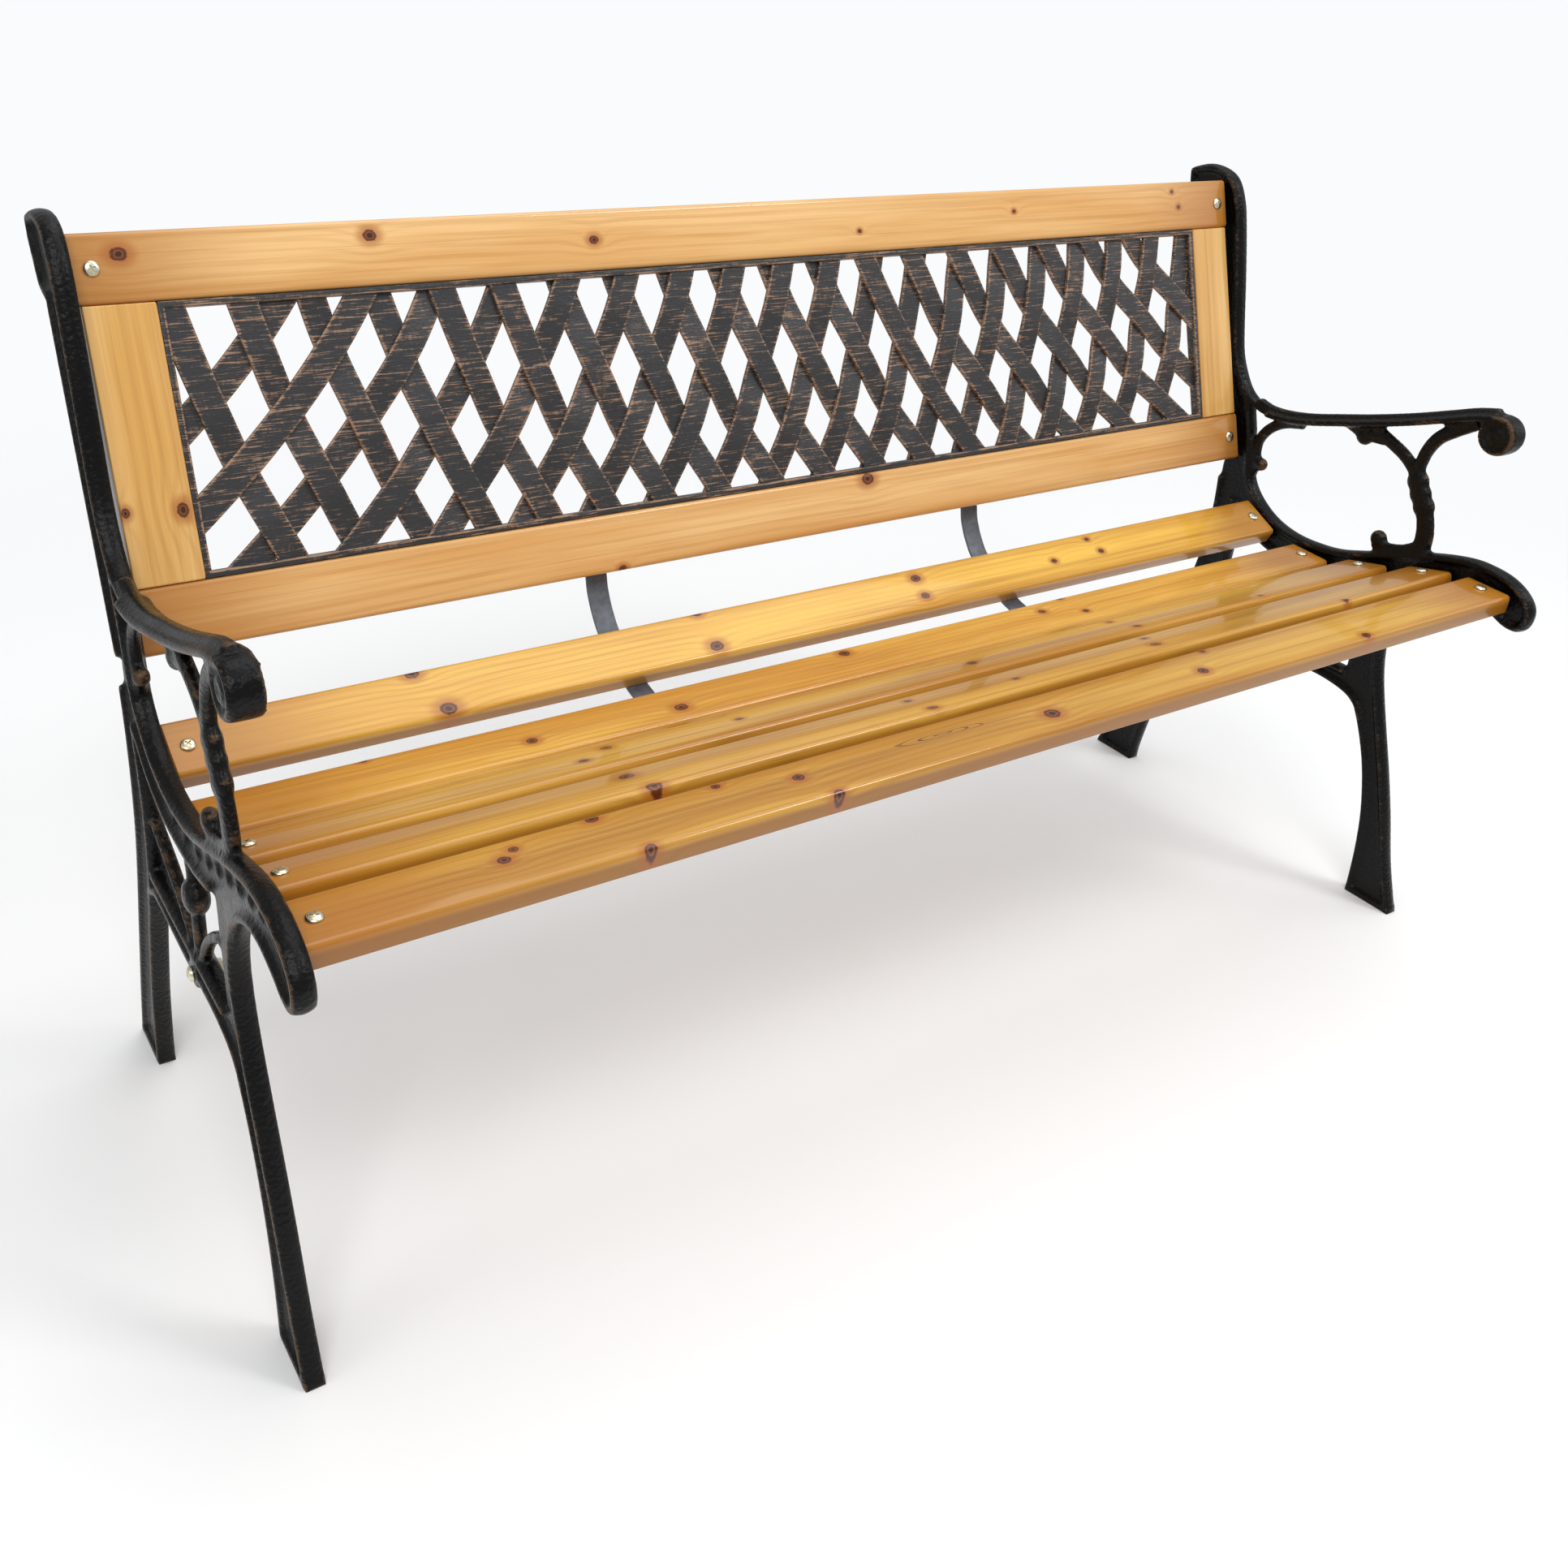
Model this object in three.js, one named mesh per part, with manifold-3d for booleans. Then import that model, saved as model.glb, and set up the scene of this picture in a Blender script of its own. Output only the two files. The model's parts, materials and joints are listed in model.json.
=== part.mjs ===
// Garden bench: two cast-iron end frames, five wooden seat slats, a wooden back frame with a cast
// lattice panel, two under-seat straps, and the bolts, nuts and screws that join them.
// Millimetres. +Z is up, +X runs along the bench to its left-hand arm as one sits, the sitter faces -Y.
// The origin lies on the floor under the middle of the bounding box.
import * as THREE from 'three';
import { mergeVertices } from 'three/addons/utils/BufferGeometryUtils.js';
import Module from 'manifold-3d';

const wasm = await Module();
wasm.setup();

// ---- driving dimensions -------------------------------------------------------------------------
const END = { inner: 594, outer: 610, webInner: 599, webOuter: 605, armInner: 590, armOuter: 614 };
const RIM = 6.5;                      // thickness of the raised rims on a casting
const GAP = 0.3;                      // clearance between pieces that touch
const WOOD = { thick: 18, width: 50, end: 593.5, round: 4, roundSteps: 2 };
const BACK = { y: 130.1, z: 477.2, recline: 17.66 };
const TOP_RAIL = { low: 202, high: 252 };
const LOW_RAIL = { low: -51, high: -1 };
const STILE = { inner: 540, outer: 591, round: 1.5 };
const PANEL = { half: 539.7, border: 5, frameBack: -12, frameFront: -0.8, barBack: -9, barFront: -4 };
const LATTICE = { bars: 19, first: -531, pitch: 52.5, spread: 0.75, spreadFrom: 11, width: 22.5 };
const LEAN = {
  least: 50, grow: 45.6, per: 322, straight: 0.66, steps: 2, top: 203, drop: 206, from: 196, over: 192,
};
const SLATS = [
  { name: 'seat_slat_a_rear', y: 68.8, z: 375.4, tilt: 27 },
  { name: 'seat_slat_b', y: -3.7, z: 357.1, tilt: 3.2 },
  { name: 'seat_slat_c', y: -74.3, z: 370.9, tilt: -12.2 },
  { name: 'seat_slat_d', y: -145.9, z: 390.2, tilt: -12.9 },
  { name: 'seat_slat_e_front', y: -211.3, z: 396.5, tilt: 3 },
];
const LUG = { reach: 562, half: 18, thick: 5 };
const BOLT = { x: 579.6, shank: 3, head: 5.75, rise: 2.6, length: 32, hole: 3.6, sides: 10 };
const NUT = { across: 10, thick: 5, hole: 3.4, sides: 8 };
const STRAP = { x: 212, width: 20, thick: 3, railTop: -10, railFoot: 2, end: -14 };
const STRAP_BEND = [[129, 409], [122, 395], [112, 381.5]];
const SCREW = { head: 3.6, rise: 2, shank: 1.8, length: 14, hole: 2.3, depth: 13, sides: 6 };
const CROSS_BOLT = { y: -3, z: 229, boss: 12, shank: 3, head: 6, rise: 4, length: 24 };
const DOME = { width: 0.85, height: 0.7 };   // shoulder of a domed head, as shares of its size
const DRILL_PAST = 15;                // how far a drilled hole runs on behind the wood

// ---- materials ----------------------------------------------------------------------------------
const iron = new THREE.MeshStandardMaterial({ color: 0x17171a, roughness: 0.45, metalness: 0.6 });
const bronzedIron = new THREE.MeshStandardMaterial({ color: 0x2a2725, roughness: 0.5, metalness: 0.6 });
const varnishedPine = new THREE.MeshStandardMaterial({ color: 0xd39b4c, roughness: 0.35, metalness: 0 });
const zinc = new THREE.MeshStandardMaterial({ color: 0xc9c3a6, roughness: 0.3, metalness: 1 });
const greySteel = new THREE.MeshStandardMaterial({ color: 0x4a4e55, roughness: 0.5, metalness: 0.8 });

// ---- side-view outlines of an end frame, as [y, z] -----------------------------------------------
const HOOK_TO_ARM = [
  [258, 722], [234, 729], [212, 727], [196, 718], [184, 698], [176, 672], [164, 621], [153, 569],
  [146, 541], [137, 522], [124, 504], [108, 494], [90, 489.5], [66, 490], [36, 495], [0, 504.5],
  [-38, 515], [-83, 529], [-125, 544], [-150, 553], [-172, 558.3],
];
const REAR_OF_UPRIGHT = [
  [140, 385], [140, 414], [138, 423], [216, 669], [236, 675], [247, 692], [256, 706], [258, 722],
];
const SEAT_LINE = [
  [118, 496], [114, 480], [108, 460], [103, 436], [98, 413], [89, 398], [75, 385.5], [58, 375.5],
  [39, 369], [16, 365.5], [-12, 366], [-37, 369.5], [-65, 378], [-96, 389], [-130, 400],
  [-165, 409.5], [-192, 413.3], [-219, 411], [-237, 405], [-250, 396], [-257, 386], [-258, 375],
  [-255, 366], [-247, 360.7],
];
const NOSE_TO_FOOT = [
  [-247, 360.7], [-234, 362], [-216, 369.5], [-192, 375], [-166, 371], [-141, 357], [-122, 334],
  [-113, 305], [-114, 277], [-121, 245], [-136, 200], [-153, 152], [-168, 105], [-183, 52], [-202, 0],
];
const FRONT_LEG_REAR = [[-144, 0], [-143, 50], [-138, 100], [-126, 150], [-111, 188], [-97, 214]];
const BACK_LEG_FRONT = [
  [191, 0], [188, 25], [176, 80], [160, 130], [144, 175], [130, 210], [117, 250], [109, 290],
  [106, 320], [107, 350], [111, 380],
];
const BACK_LEG_REAR = [
  [140, 400], [139, 364], [141, 330], [146, 296], [154, 262], [170, 215], [191, 160], [212, 105],
  [232, 52], [250, 0],
];
const APRON_LOW = [[-76, 342], [-40, 335], [0, 333], [44, 336], [78, 348], [112, 372]];
const ARCH = [
  [-100, 210], [-87, 219], [-66, 224], [-40, 226], [0, 225], [45, 226], [88, 228], [112, 226],
  [134, 214],
];
const BRACE = [[44, 489], [68, 481], [86, 470], [97, 455], [99, 440], [96, 425], [100, 412]];
const REAR_BRANCH = [[-46, 504], [-72, 494], [-98, 478]];
const FRONT_BRANCH = [[-150, 541], [-128, 529], [-114, 517], [-105, 500], [-99, 480]];
const POST = [[-98, 482], [-105, 468], [-112, 455], [-120, 440], [-125, 424], [-126, 408], [-121, 394]];
const BEADS = { radius: 11.3, centres: [[-104, 469], [-110, 457.5], [-117, 446]] };
const FOOT_HOOK = [[-121, 401], [-108, 394], [-94, 390], [-82, 389], [-74, 393]];
const ARM_CURL = [[-8, 505], [-22, 500], [-36, 497], [-52, 501]];
const STRETCHER_TOP = [[-76, 246], [116, 246]];
const FRONT_SCROLL = [[-76, 304], [-50, 288], [-28, 268], [-14, 246]];
const REAR_SCROLL = [[104, 300], [70, 286], [35, 268], [8, 246]];
const STEM = [[-4, 240], [-6, 296], [-4, 338]];
const FLOOR = { reach: 300, depth: 20 };
const RIB = [597, 607];               // X range of the ribs that make the tracery
const RIBS = [
  { line: BRACE, half: 6.5 },
  { line: REAR_BRANCH, half: 5, perSpan: 2 },
  { line: FRONT_BRANCH, half: 5.5 },
  { line: POST, half: 8.5 },
  { line: FOOT_HOOK, half: 6 },
  { line: ARM_CURL, half: 5 },
  { line: FRONT_SCROLL, half: 4.5, perSpan: 2 },
  { line: REAR_SCROLL, half: 4.5, perSpan: 2 },
  { line: STEM, half: 5.5 },
];
const ARM_DEPTH = 12;                 // depth of the rib under the armrest
const KNOB_SIDES = 10;
const CURLS = [
  { centre: [86, 427], radius: 6.5 },
  { centre: [-32, 496], radius: 9 },
  { centre: [-76, 396], radius: 8 },
];
const SCROLL = { centre: [-177.5, 539.3], radius: 19 };
const ROSETTE = { centre: [-6, 296], radius: 15 };
const FRIEZE = {
  leaves: 11, from: 0.32, to: 0.86, half: 11.5, halfHeight: 4.4, drop: 17, deep: 3, sides: 10,
};

// ---- geometry helpers ---------------------------------------------------------------------------
function toSolid(geometry) {
  const bare = geometry.clone();
  bare.deleteAttribute('normal');
  bare.deleteAttribute('uv');
  const merged = mergeVertices(bare, 1e-4);
  const mesh = new wasm.Mesh({
    numProp: 3,
    vertProperties: new Float32Array(merged.attributes.position.array),
    triVerts: new Uint32Array(merged.index.array),
  });
  return new wasm.Manifold(mesh);
}

function toGeometry(solid) {
  const mesh = solid.getMesh();
  const geometry = new THREE.BufferGeometry();
  geometry.setAttribute('position', new THREE.BufferAttribute(mesh.vertProperties, 3));
  geometry.setIndex(new THREE.BufferAttribute(mesh.triVerts, 1));
  geometry.computeVertexNormals();
  return geometry;
}

function joined(solids) {
  return solids.reduce((whole, piece) => whole.add(piece));
}

function without(solid, cutters) {
  return cutters.reduce((rest, cutter) => rest.subtract(cutter), solid);
}

function vectors(points) {
  return points.map(([y, z]) => new THREE.Vector2(y, z));
}

function smooth(points, perSpan = 1) {
  return new THREE.SplineCurve(vectors(points)).getPoints((points.length - 1) * perSpan);
}

// A side-view outline in Y and Z, made solid from x0 to x1.
function plate(outline, x0, x1) {
  const geometry = new THREE.ExtrudeGeometry(new THREE.Shape(outline), {
    depth: x1 - x0, bevelEnabled: false,
  });
  geometry.applyMatrix4(new THREE.Matrix4().makeBasis(
    new THREE.Vector3(0, 1, 0), new THREE.Vector3(0, 0, 1), new THREE.Vector3(1, 0, 0)));
  geometry.translate(x0, 0, 0);
  return toSolid(geometry);
}

// The outline of the band between two sideways copies of a line; left of travel is positive.
function band(line, near, far) {
  const shifted = (offset) => line.map((point, i) => {
    const ahead = line[Math.min(i + 1, line.length - 1)];
    const behind = line[Math.max(i - 1, 0)];
    const along = ahead.clone().sub(behind).normalize();
    return new THREE.Vector2(point.x - along.y * offset, point.y + along.x * offset);
  });
  return [...shifted(near), ...shifted(far).reverse()];
}

// A disc that faces along X.
function disc([y, z], radius, x0, x1, sides = 16) {
  const geometry = new THREE.CylinderGeometry(radius, radius, x1 - x0, sides);
  geometry.rotateZ(Math.PI / 2);
  geometry.translate((x0 + x1) / 2, y, z);
  return toSolid(geometry);
}

// A round solid along local Z through (x, y).
function drill(x, y, radius, z0, z1, sides = BOLT.sides) {
  const geometry = new THREE.CylinderGeometry(radius, radius, z1 - z0, sides);
  geometry.rotateX(Math.PI / 2);
  geometry.translate(x, y, (z0 + z1) / 2);
  return toSolid(geometry);
}

function box([x0, x1], [y0, y1], [z0, z1]) {
  const geometry = new THREE.BoxGeometry(x1 - x0, y1 - y0, z1 - z0);
  geometry.translate((x0 + x1) / 2, (y0 + y1) / 2, (z0 + z1) / 2);
  return toSolid(geometry);
}

// ---- seats: the places where wood lies on the castings and straps ---------------------------------
// In a seat's own frame X runs along the bench, Y up or back across the wood, Z out of its front face,
// and the front face of the wood is at Z = 0.
function slatPlace(slat) {
  return new THREE.Matrix4().makeRotationX(THREE.MathUtils.degToRad(slat.tilt))
    .setPosition(0, slat.y, slat.z);
}

function backPlace() {
  return new THREE.Matrix4().makeRotationX(THREE.MathUtils.degToRad(90 - BACK.recline))
    .setPosition(0, BACK.y, BACK.z);
}

function sidePoint(place, across, out) {
  const point = new THREE.Vector3(0, across, out).applyMatrix4(place);
  return new THREE.Vector2(point.y, point.z);
}

const SEATS = [
  { key: 'top_rail', place: backPlace(), middle: (TOP_RAIL.low + TOP_RAIL.high) / 2 },
  { key: 'low_rail', place: backPlace(), middle: (LOW_RAIL.low + LOW_RAIL.high) / 2 },
  ...SLATS.map((slat) => ({ key: slat.name, place: slatPlace(slat), middle: 0 })),
];

// ---- the cast end frames ------------------------------------------------------------------------
// Every X range is measured out from the middle of the bench and mirrored for the other end.
function endFrame(side) {
  const range = (a, b) => (side > 0 ? [a, b] : [-b, -a]);
  const flange = (line, near, far) => plate(band(line, near, far), ...range(END.inner, END.outer));
  const web = (outline) => plate(outline, ...range(END.webInner, END.webOuter));
  const knob = (centre, radius, sides) => disc(centre, radius, ...range(...RIB), sides);

  const rims = [
    flange(smooth(HOOK_TO_ARM), 0, RIM),
    flange(smooth(SEAT_LINE), 0, RIM),
    flange(smooth(NOSE_TO_FOOT), 0, RIM),
    flange(smooth(FRONT_LEG_REAR), 0, RIM),
    flange(smooth(BACK_LEG_FRONT), 0, -RIM),
    flange(smooth(BACK_LEG_REAR), 0, -RIM),
    flange(vectors(REAR_OF_UPRIGHT.slice(2)), 0, RIM),
    flange(smooth(APRON_LOW), 0, RIM),
    flange(smooth(ARCH), 0, RIM),
    flange(vectors(STRETCHER_TOP), 0, -RIM),
  ];
  const uprightWeb = web([
    ...smooth(HOOK_TO_ARM.slice(0, 11)),
    ...vectors(SEAT_LINE.slice(0, 5)),
    ...vectors(REAR_OF_UPRIGHT.slice(0, -1)),
  ]);
  const apronWeb = web([
    ...smooth(SEAT_LINE.slice(3)),
    ...smooth(NOSE_TO_FOOT.slice(0, 6)).slice(1),
    ...smooth(APRON_LOW),
    ...vectors([BACK_LEG_REAR[0]]),
  ]);
  const frontLegWeb = web([
    ...smooth(NOSE_TO_FOOT.slice(4)),
    ...smooth(FRONT_LEG_REAR),
    ...vectors([STRETCHER_TOP[0], APRON_LOW[0]]),
  ]);
  const backLegWeb = web([
    ...smooth(BACK_LEG_REAR).reverse(),
    ...vectors([SEAT_LINE[4]]),
    ...smooth(BACK_LEG_FRONT).reverse(),
  ]);
  const stretcherWeb = web([...smooth(ARCH), ...vectors(STRETCHER_TOP).reverse()]);
  const soles = [
    [NOSE_TO_FOOT.at(-1)[0], FRONT_LEG_REAR[0][0]],
    [BACK_LEG_FRONT[0][0], BACK_LEG_REAR.at(-1)[0]],
  ];
  const feet = soles.map((sole) => box(range(END.inner, END.outer), sole, [0, RIM]));
  const arm = [
    plate(band(smooth(HOOK_TO_ARM.slice(12)), 0, RIM), ...range(END.armInner, END.armOuter)),
    plate(band(smooth(HOOK_TO_ARM.slice(11)), 0, ARM_DEPTH), ...range(...RIB)),
    disc(SCROLL.centre, SCROLL.radius, ...range(END.armInner, END.armOuter)),
  ];
  const tracery = [
    ...RIBS.map(({ line, half, perSpan }) => (
      plate(band(smooth(line, perSpan), -half, half), ...range(...RIB)))),
    ...BEADS.centres.map((centre) => knob(centre, BEADS.radius, KNOB_SIDES)),
    ...CURLS.map(({ centre, radius }) => knob(centre, radius, KNOB_SIDES)),
    disc(ROSETTE.centre, ROSETTE.radius, ...range(END.inner, END.outer)),
    disc([CROSS_BOLT.y, CROSS_BOLT.z], CROSS_BOLT.boss, ...range(END.inner, END.outer)),
  ];
  const lugs = SEATS.map(({ place, middle }) => (
    box(range(LUG.reach, END.webOuter), [middle - LUG.half, middle + LUG.half],
      [-WOOD.thick - GAP - LUG.thick, -WOOD.thick - GAP]).transform(place.elements)
  ));
  const boltHoles = SEATS.map(({ place, middle }) => (
    drill(side * BOLT.x, middle, BOLT.hole, -WOOD.thick - DRILL_PAST, 0).transform(place.elements)
  ));
  const crossHole = disc(
    [CROSS_BOLT.y, CROSS_BOLT.z], BOLT.hole, ...range(END.inner - 1, END.outer + 1), BOLT.sides);
  const solid = joined([...rims, uprightWeb, apronWeb, frontLegWeb, backLegWeb, stretcherWeb,
    ...feet, ...arm, ...tracery, ...lugs]);
  const belowFloor = box(
    range(END.inner - 1, END.outer + 1), [-FLOOR.reach, FLOOR.reach], [-FLOOR.depth, 0]);
  return without(solid, [...boltHoles, crossHole, belowFloor, ...friezeHollows(range)]);
}

// Leaf-shaped hollows sunk in a row into the outside of the apron, under the seat rim.
function friezeHollows(range) {
  const line = new THREE.SplineCurve(vectors(SEAT_LINE));
  const hollows = [];
  for (let i = 0; i < FRIEZE.leaves; i += 1) {
    const t = FRIEZE.from + (FRIEZE.to - FRIEZE.from) * i / (FRIEZE.leaves - 1);
    const along = line.getTangentAt(t);
    const middle = line.getPointAt(t).add(new THREE.Vector2(-along.y, along.x).multiplyScalar(FRIEZE.drop));
    const outline = [];
    for (let k = 0; k < FRIEZE.sides; k += 1) {
      const turn = 2 * Math.PI * k / FRIEZE.sides;
      const [a, b] = [FRIEZE.half * Math.cos(turn), FRIEZE.halfHeight * Math.sin(turn)];
      outline.push(new THREE.Vector2(
        middle.x + a * along.x - b * along.y, middle.y + a * along.y + b * along.x));
    }
    hollows.push(plate(outline, ...range(END.webOuter - FRIEZE.deep, END.webOuter + 1)));
  }
  return hollows;
}

// ---- wood ---------------------------------------------------------------------------------------
// A board in its seat's frame: front edges rounded with radius `round`, back edges square.
function board(low, high, x0, x1, round = WOOD.round) {
  const outline = [new THREE.Vector2(low, -WOOD.thick)];
  outline.push(new THREE.Vector2(high, -WOOD.thick));
  for (const [centre, start] of [[high - round, 0], [low + round, Math.PI / 2]]) {
    for (let k = 0; k <= WOOD.roundSteps; k += 1) {
      const turn = start + Math.PI / 2 * k / WOOD.roundSteps;
      outline.push(new THREE.Vector2(centre + round * Math.cos(turn), -round + round * Math.sin(turn)));
    }
  }
  return plate(outline, x0, x1);
}

function boltHolesIn(middle) {
  return [-1, 1].map((side) => drill(side * BOLT.x, middle, BOLT.hole, -WOOD.thick - 1, 1));
}

function screwHolesIn(middle) {
  return [-1, 1].map((side) => (
    drill(side * STRAP.x, middle, SCREW.hole, -WOOD.thick - 1, -WOOD.thick + SCREW.depth, SCREW.sides)
  ));
}

function seatSlat() {
  const half = WOOD.width / 2;
  const cutters = [...boltHolesIn(0), ...screwHolesIn(0)];
  return without(board(-half, half, -WOOD.end, WOOD.end), cutters);
}

function backRail({ low, high }, strapped) {
  const middle = (low + high) / 2;
  const cutters = [...boltHolesIn(middle), ...(strapped ? screwHolesIn(middle) : [])];
  return without(board(low, high, -WOOD.end, WOOD.end), cutters);
}

function stile(side) {
  const [x0, x1] = side > 0 ? [STILE.inner, STILE.outer] : [-STILE.outer, -STILE.inner];
  return board(LOW_RAIL.high + GAP, TOP_RAIL.low - GAP, x0, x1, STILE.round);
}

// ---- lattice panel ------------------------------------------------------------------------------
// One bar leans across the panel as it falls, more steeply towards the foot; `hand` mirrors it.
function latticeBar(index, hand) {
  const top = LATTICE.first + LATTICE.pitch * index
    + LATTICE.spread * Math.max(0, index - LATTICE.spreadFrom) ** 2;
  const reach = LEAN.least + LEAN.grow * Math.exp(top / LEAN.per);
  const left = [];
  const right = [];
  for (let k = 0; k <= LEAN.steps; k += 1) {
    const v = LEAN.top - LEAN.drop * k / LEAN.steps;
    const t = (LEAN.from - v) / LEAN.over;
    const x = top + reach * (LEAN.straight * t + (1 - LEAN.straight) * t * t);
    const slope = reach * (LEAN.straight + 2 * (1 - LEAN.straight) * t) / LEAN.over;
    const half = LATTICE.width / 2 * Math.hypot(1, slope);
    left.push(new THREE.Vector2(hand * (x - half), v));
    right.push(new THREE.Vector2(hand * (x + half), v));
  }
  const shape = new THREE.Shape([...left, ...right.reverse()]);
  const geometry = new THREE.ExtrudeGeometry(shape, {
    depth: PANEL.barFront - PANEL.barBack, bevelEnabled: false,
  });
  geometry.translate(0, 0, PANEL.barBack);
  return toSolid(geometry);
}

function latticePanel() {
  const bars = [];
  for (let i = 0; i < LATTICE.bars; i += 1) bars.push(latticeBar(i, 1), latticeBar(i, -1));
  const low = LOW_RAIL.high + GAP;
  const high = TOP_RAIL.low - GAP;
  const depth = [PANEL.frameBack, PANEL.frameFront];
  const outer = box([-PANEL.half, PANEL.half], [low, high], depth);
  const inner = box([PANEL.border - PANEL.half, PANEL.half - PANEL.border],
    [low + PANEL.border, high - PANEL.border], [PANEL.frameBack - 1, PANEL.frameFront + 1]);
  const field = box([1 - PANEL.half, PANEL.half - 1], [low + 1, high - 1], depth);
  return outer.subtract(inner).add(joined(bars).intersect(field));
}

// ---- steel --------------------------------------------------------------------------------------
function turned(profile, sides) {
  const geometry = new THREE.LatheGeometry(profile.map(([r, h]) => new THREE.Vector2(r, h)), sides);
  geometry.rotateX(Math.PI / 2);
  return toSolid(geometry);
}

// A round-headed bolt along Z whose head rests on Z = 0.
function bolt({ shank, head, rise, length }, sides = BOLT.sides) {
  return turned([
    [0, -length], [shank, -length], [shank, GAP], [head, GAP],
    [head * DOME.width, rise * DOME.height], [0, rise],
  ], sides);
}

function nut() {
  const shape = new THREE.Shape();
  const corner = NUT.across / Math.sqrt(3);
  for (let k = 0; k < 6; k += 1) {
    const [x, y] = [corner * Math.cos(Math.PI * k / 3), corner * Math.sin(Math.PI * k / 3)];
    if (k === 0) {
      shape.moveTo(x, y);
    } else {
      shape.lineTo(x, y);
    }
  }
  shape.closePath();
  shape.holes.push(new THREE.Path().absarc(0, 0, NUT.hole, 0, 2 * Math.PI, true));
  const geometry = new THREE.ExtrudeGeometry(shape, {
    depth: NUT.thick, bevelEnabled: false, curveSegments: NUT.sides,
  });
  return toSolid(geometry);
}

// A flat strap bent behind the low rail and under the slats, touching each of them.
function strapLine() {
  const under = -WOOD.thick - GAP;
  const half = WOOD.width / 2;
  const corners = SLATS.flatMap((slat) => [
    sidePoint(slatPlace(slat), half, under), sidePoint(slatPlace(slat), -half, under)]);
  corners[corners.length - 1] = sidePoint(slatPlace(SLATS.at(-1)), STRAP.end, under);
  return [
    sidePoint(backPlace(), STRAP.railTop, under),
    sidePoint(backPlace(), LOW_RAIL.low - STRAP.railFoot, under),
    ...vectors(STRAP_BEND),
    ...corners,
  ];
}

function strap(side) {
  const [x0, x1] = [side * STRAP.x - STRAP.width / 2, side * STRAP.x + STRAP.width / 2];
  const solid = plate(band(strapLine(), 0, STRAP.thick), x0, x1);
  const cutters = strapped().map(({ place, middle }) => (
    drill(side * STRAP.x, middle, SCREW.hole, -WOOD.thick - DRILL_PAST, -WOOD.thick, SCREW.sides)
      .transform(place.elements)
  ));
  return without(solid, cutters);
}

function strapped() {
  return SEATS.filter(({ key }) => key !== 'top_rail');
}

// ---- assembly -----------------------------------------------------------------------------------
const bench = new THREE.Group();

function addPiece(parent, name, solid, material) {
  const mesh = new THREE.Mesh(toGeometry(solid), material);
  mesh.name = name;
  parent.add(mesh);
  return mesh;
}

function placedGroup(place) {
  const group = new THREE.Group();
  group.applyMatrix4(place);
  bench.add(group);
  return group;
}

const SIDES = [['right', -1], ['left', 1]];

for (const [word, side] of SIDES) {
  addPiece(bench, `end_frame_${word}`, endFrame(side), iron);
  addPiece(bench, `seat_strap_${word}`, strap(side), greySteel);
  const crossBolt = addPiece(bench, `stretcher_bolt_${word}`, bolt(CROSS_BOLT), zinc);
  crossBolt.position.set(side * END.outer, CROSS_BOLT.y, CROSS_BOLT.z);
  crossBolt.rotation.y = side * Math.PI / 2;
  const crossNut = addPiece(bench, `stretcher_nut_${word}`, nut(), zinc);
  crossNut.position.set(side * (END.inner - GAP), CROSS_BOLT.y, CROSS_BOLT.z);
  crossNut.rotation.y = -side * Math.PI / 2;
}

const back = placedGroup(backPlace());
addPiece(back, 'top_back_rail', backRail(TOP_RAIL, false), varnishedPine);
addPiece(back, 'low_back_rail', backRail(LOW_RAIL, true), varnishedPine);
addPiece(back, 'lattice_panel', latticePanel(), bronzedIron);
for (const [word, side] of SIDES) {
  addPiece(back, `back_stile_${word}`, stile(side), varnishedPine);
}

for (const slat of SLATS) addPiece(placedGroup(slatPlace(slat)), slat.name, seatSlat(), varnishedPine);

for (const { key, place, middle } of SEATS) {
  const seat = placedGroup(place);
  for (const [word, side] of SIDES) {
    addPiece(seat, `bolt_${key}_${word}`, bolt(BOLT), zinc).position.set(side * BOLT.x, middle, 0);
    addPiece(seat, `nut_${key}_${word}`, nut(), zinc).position.set(
      side * BOLT.x, middle, -WOOD.thick - LUG.thick - NUT.thick - 2 * GAP);
  }
}

for (const { key, place, middle } of strapped()) {
  const seat = placedGroup(place);
  for (const [word, side] of SIDES) {
    const screw = addPiece(seat, `strap_screw_${key}_${word}`, bolt(SCREW, SCREW.sides), zinc);
    screw.position.set(side * STRAP.x, middle, -WOOD.thick - STRAP.thick - GAP);
    screw.rotation.x = Math.PI;
  }
}

export default bench;
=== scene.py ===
"""Looks of a garden bench: two cast-iron ends, varnished pine boards and a cast woven back panel.

Sizes are in millimetres until a mesh is made, and in metres from then on. +X runs along the bench,
the sitter faces -Y, and the floor is Z = 0.
"""

import json
import logging
import math
from dataclasses import dataclass, field
from enum import Enum
from typing import Iterable, Sequence

import bmesh
import bpy
import numpy as np
from mathutils import Matrix, Vector
from mathutils.geometry import tessellate_polygon

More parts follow.
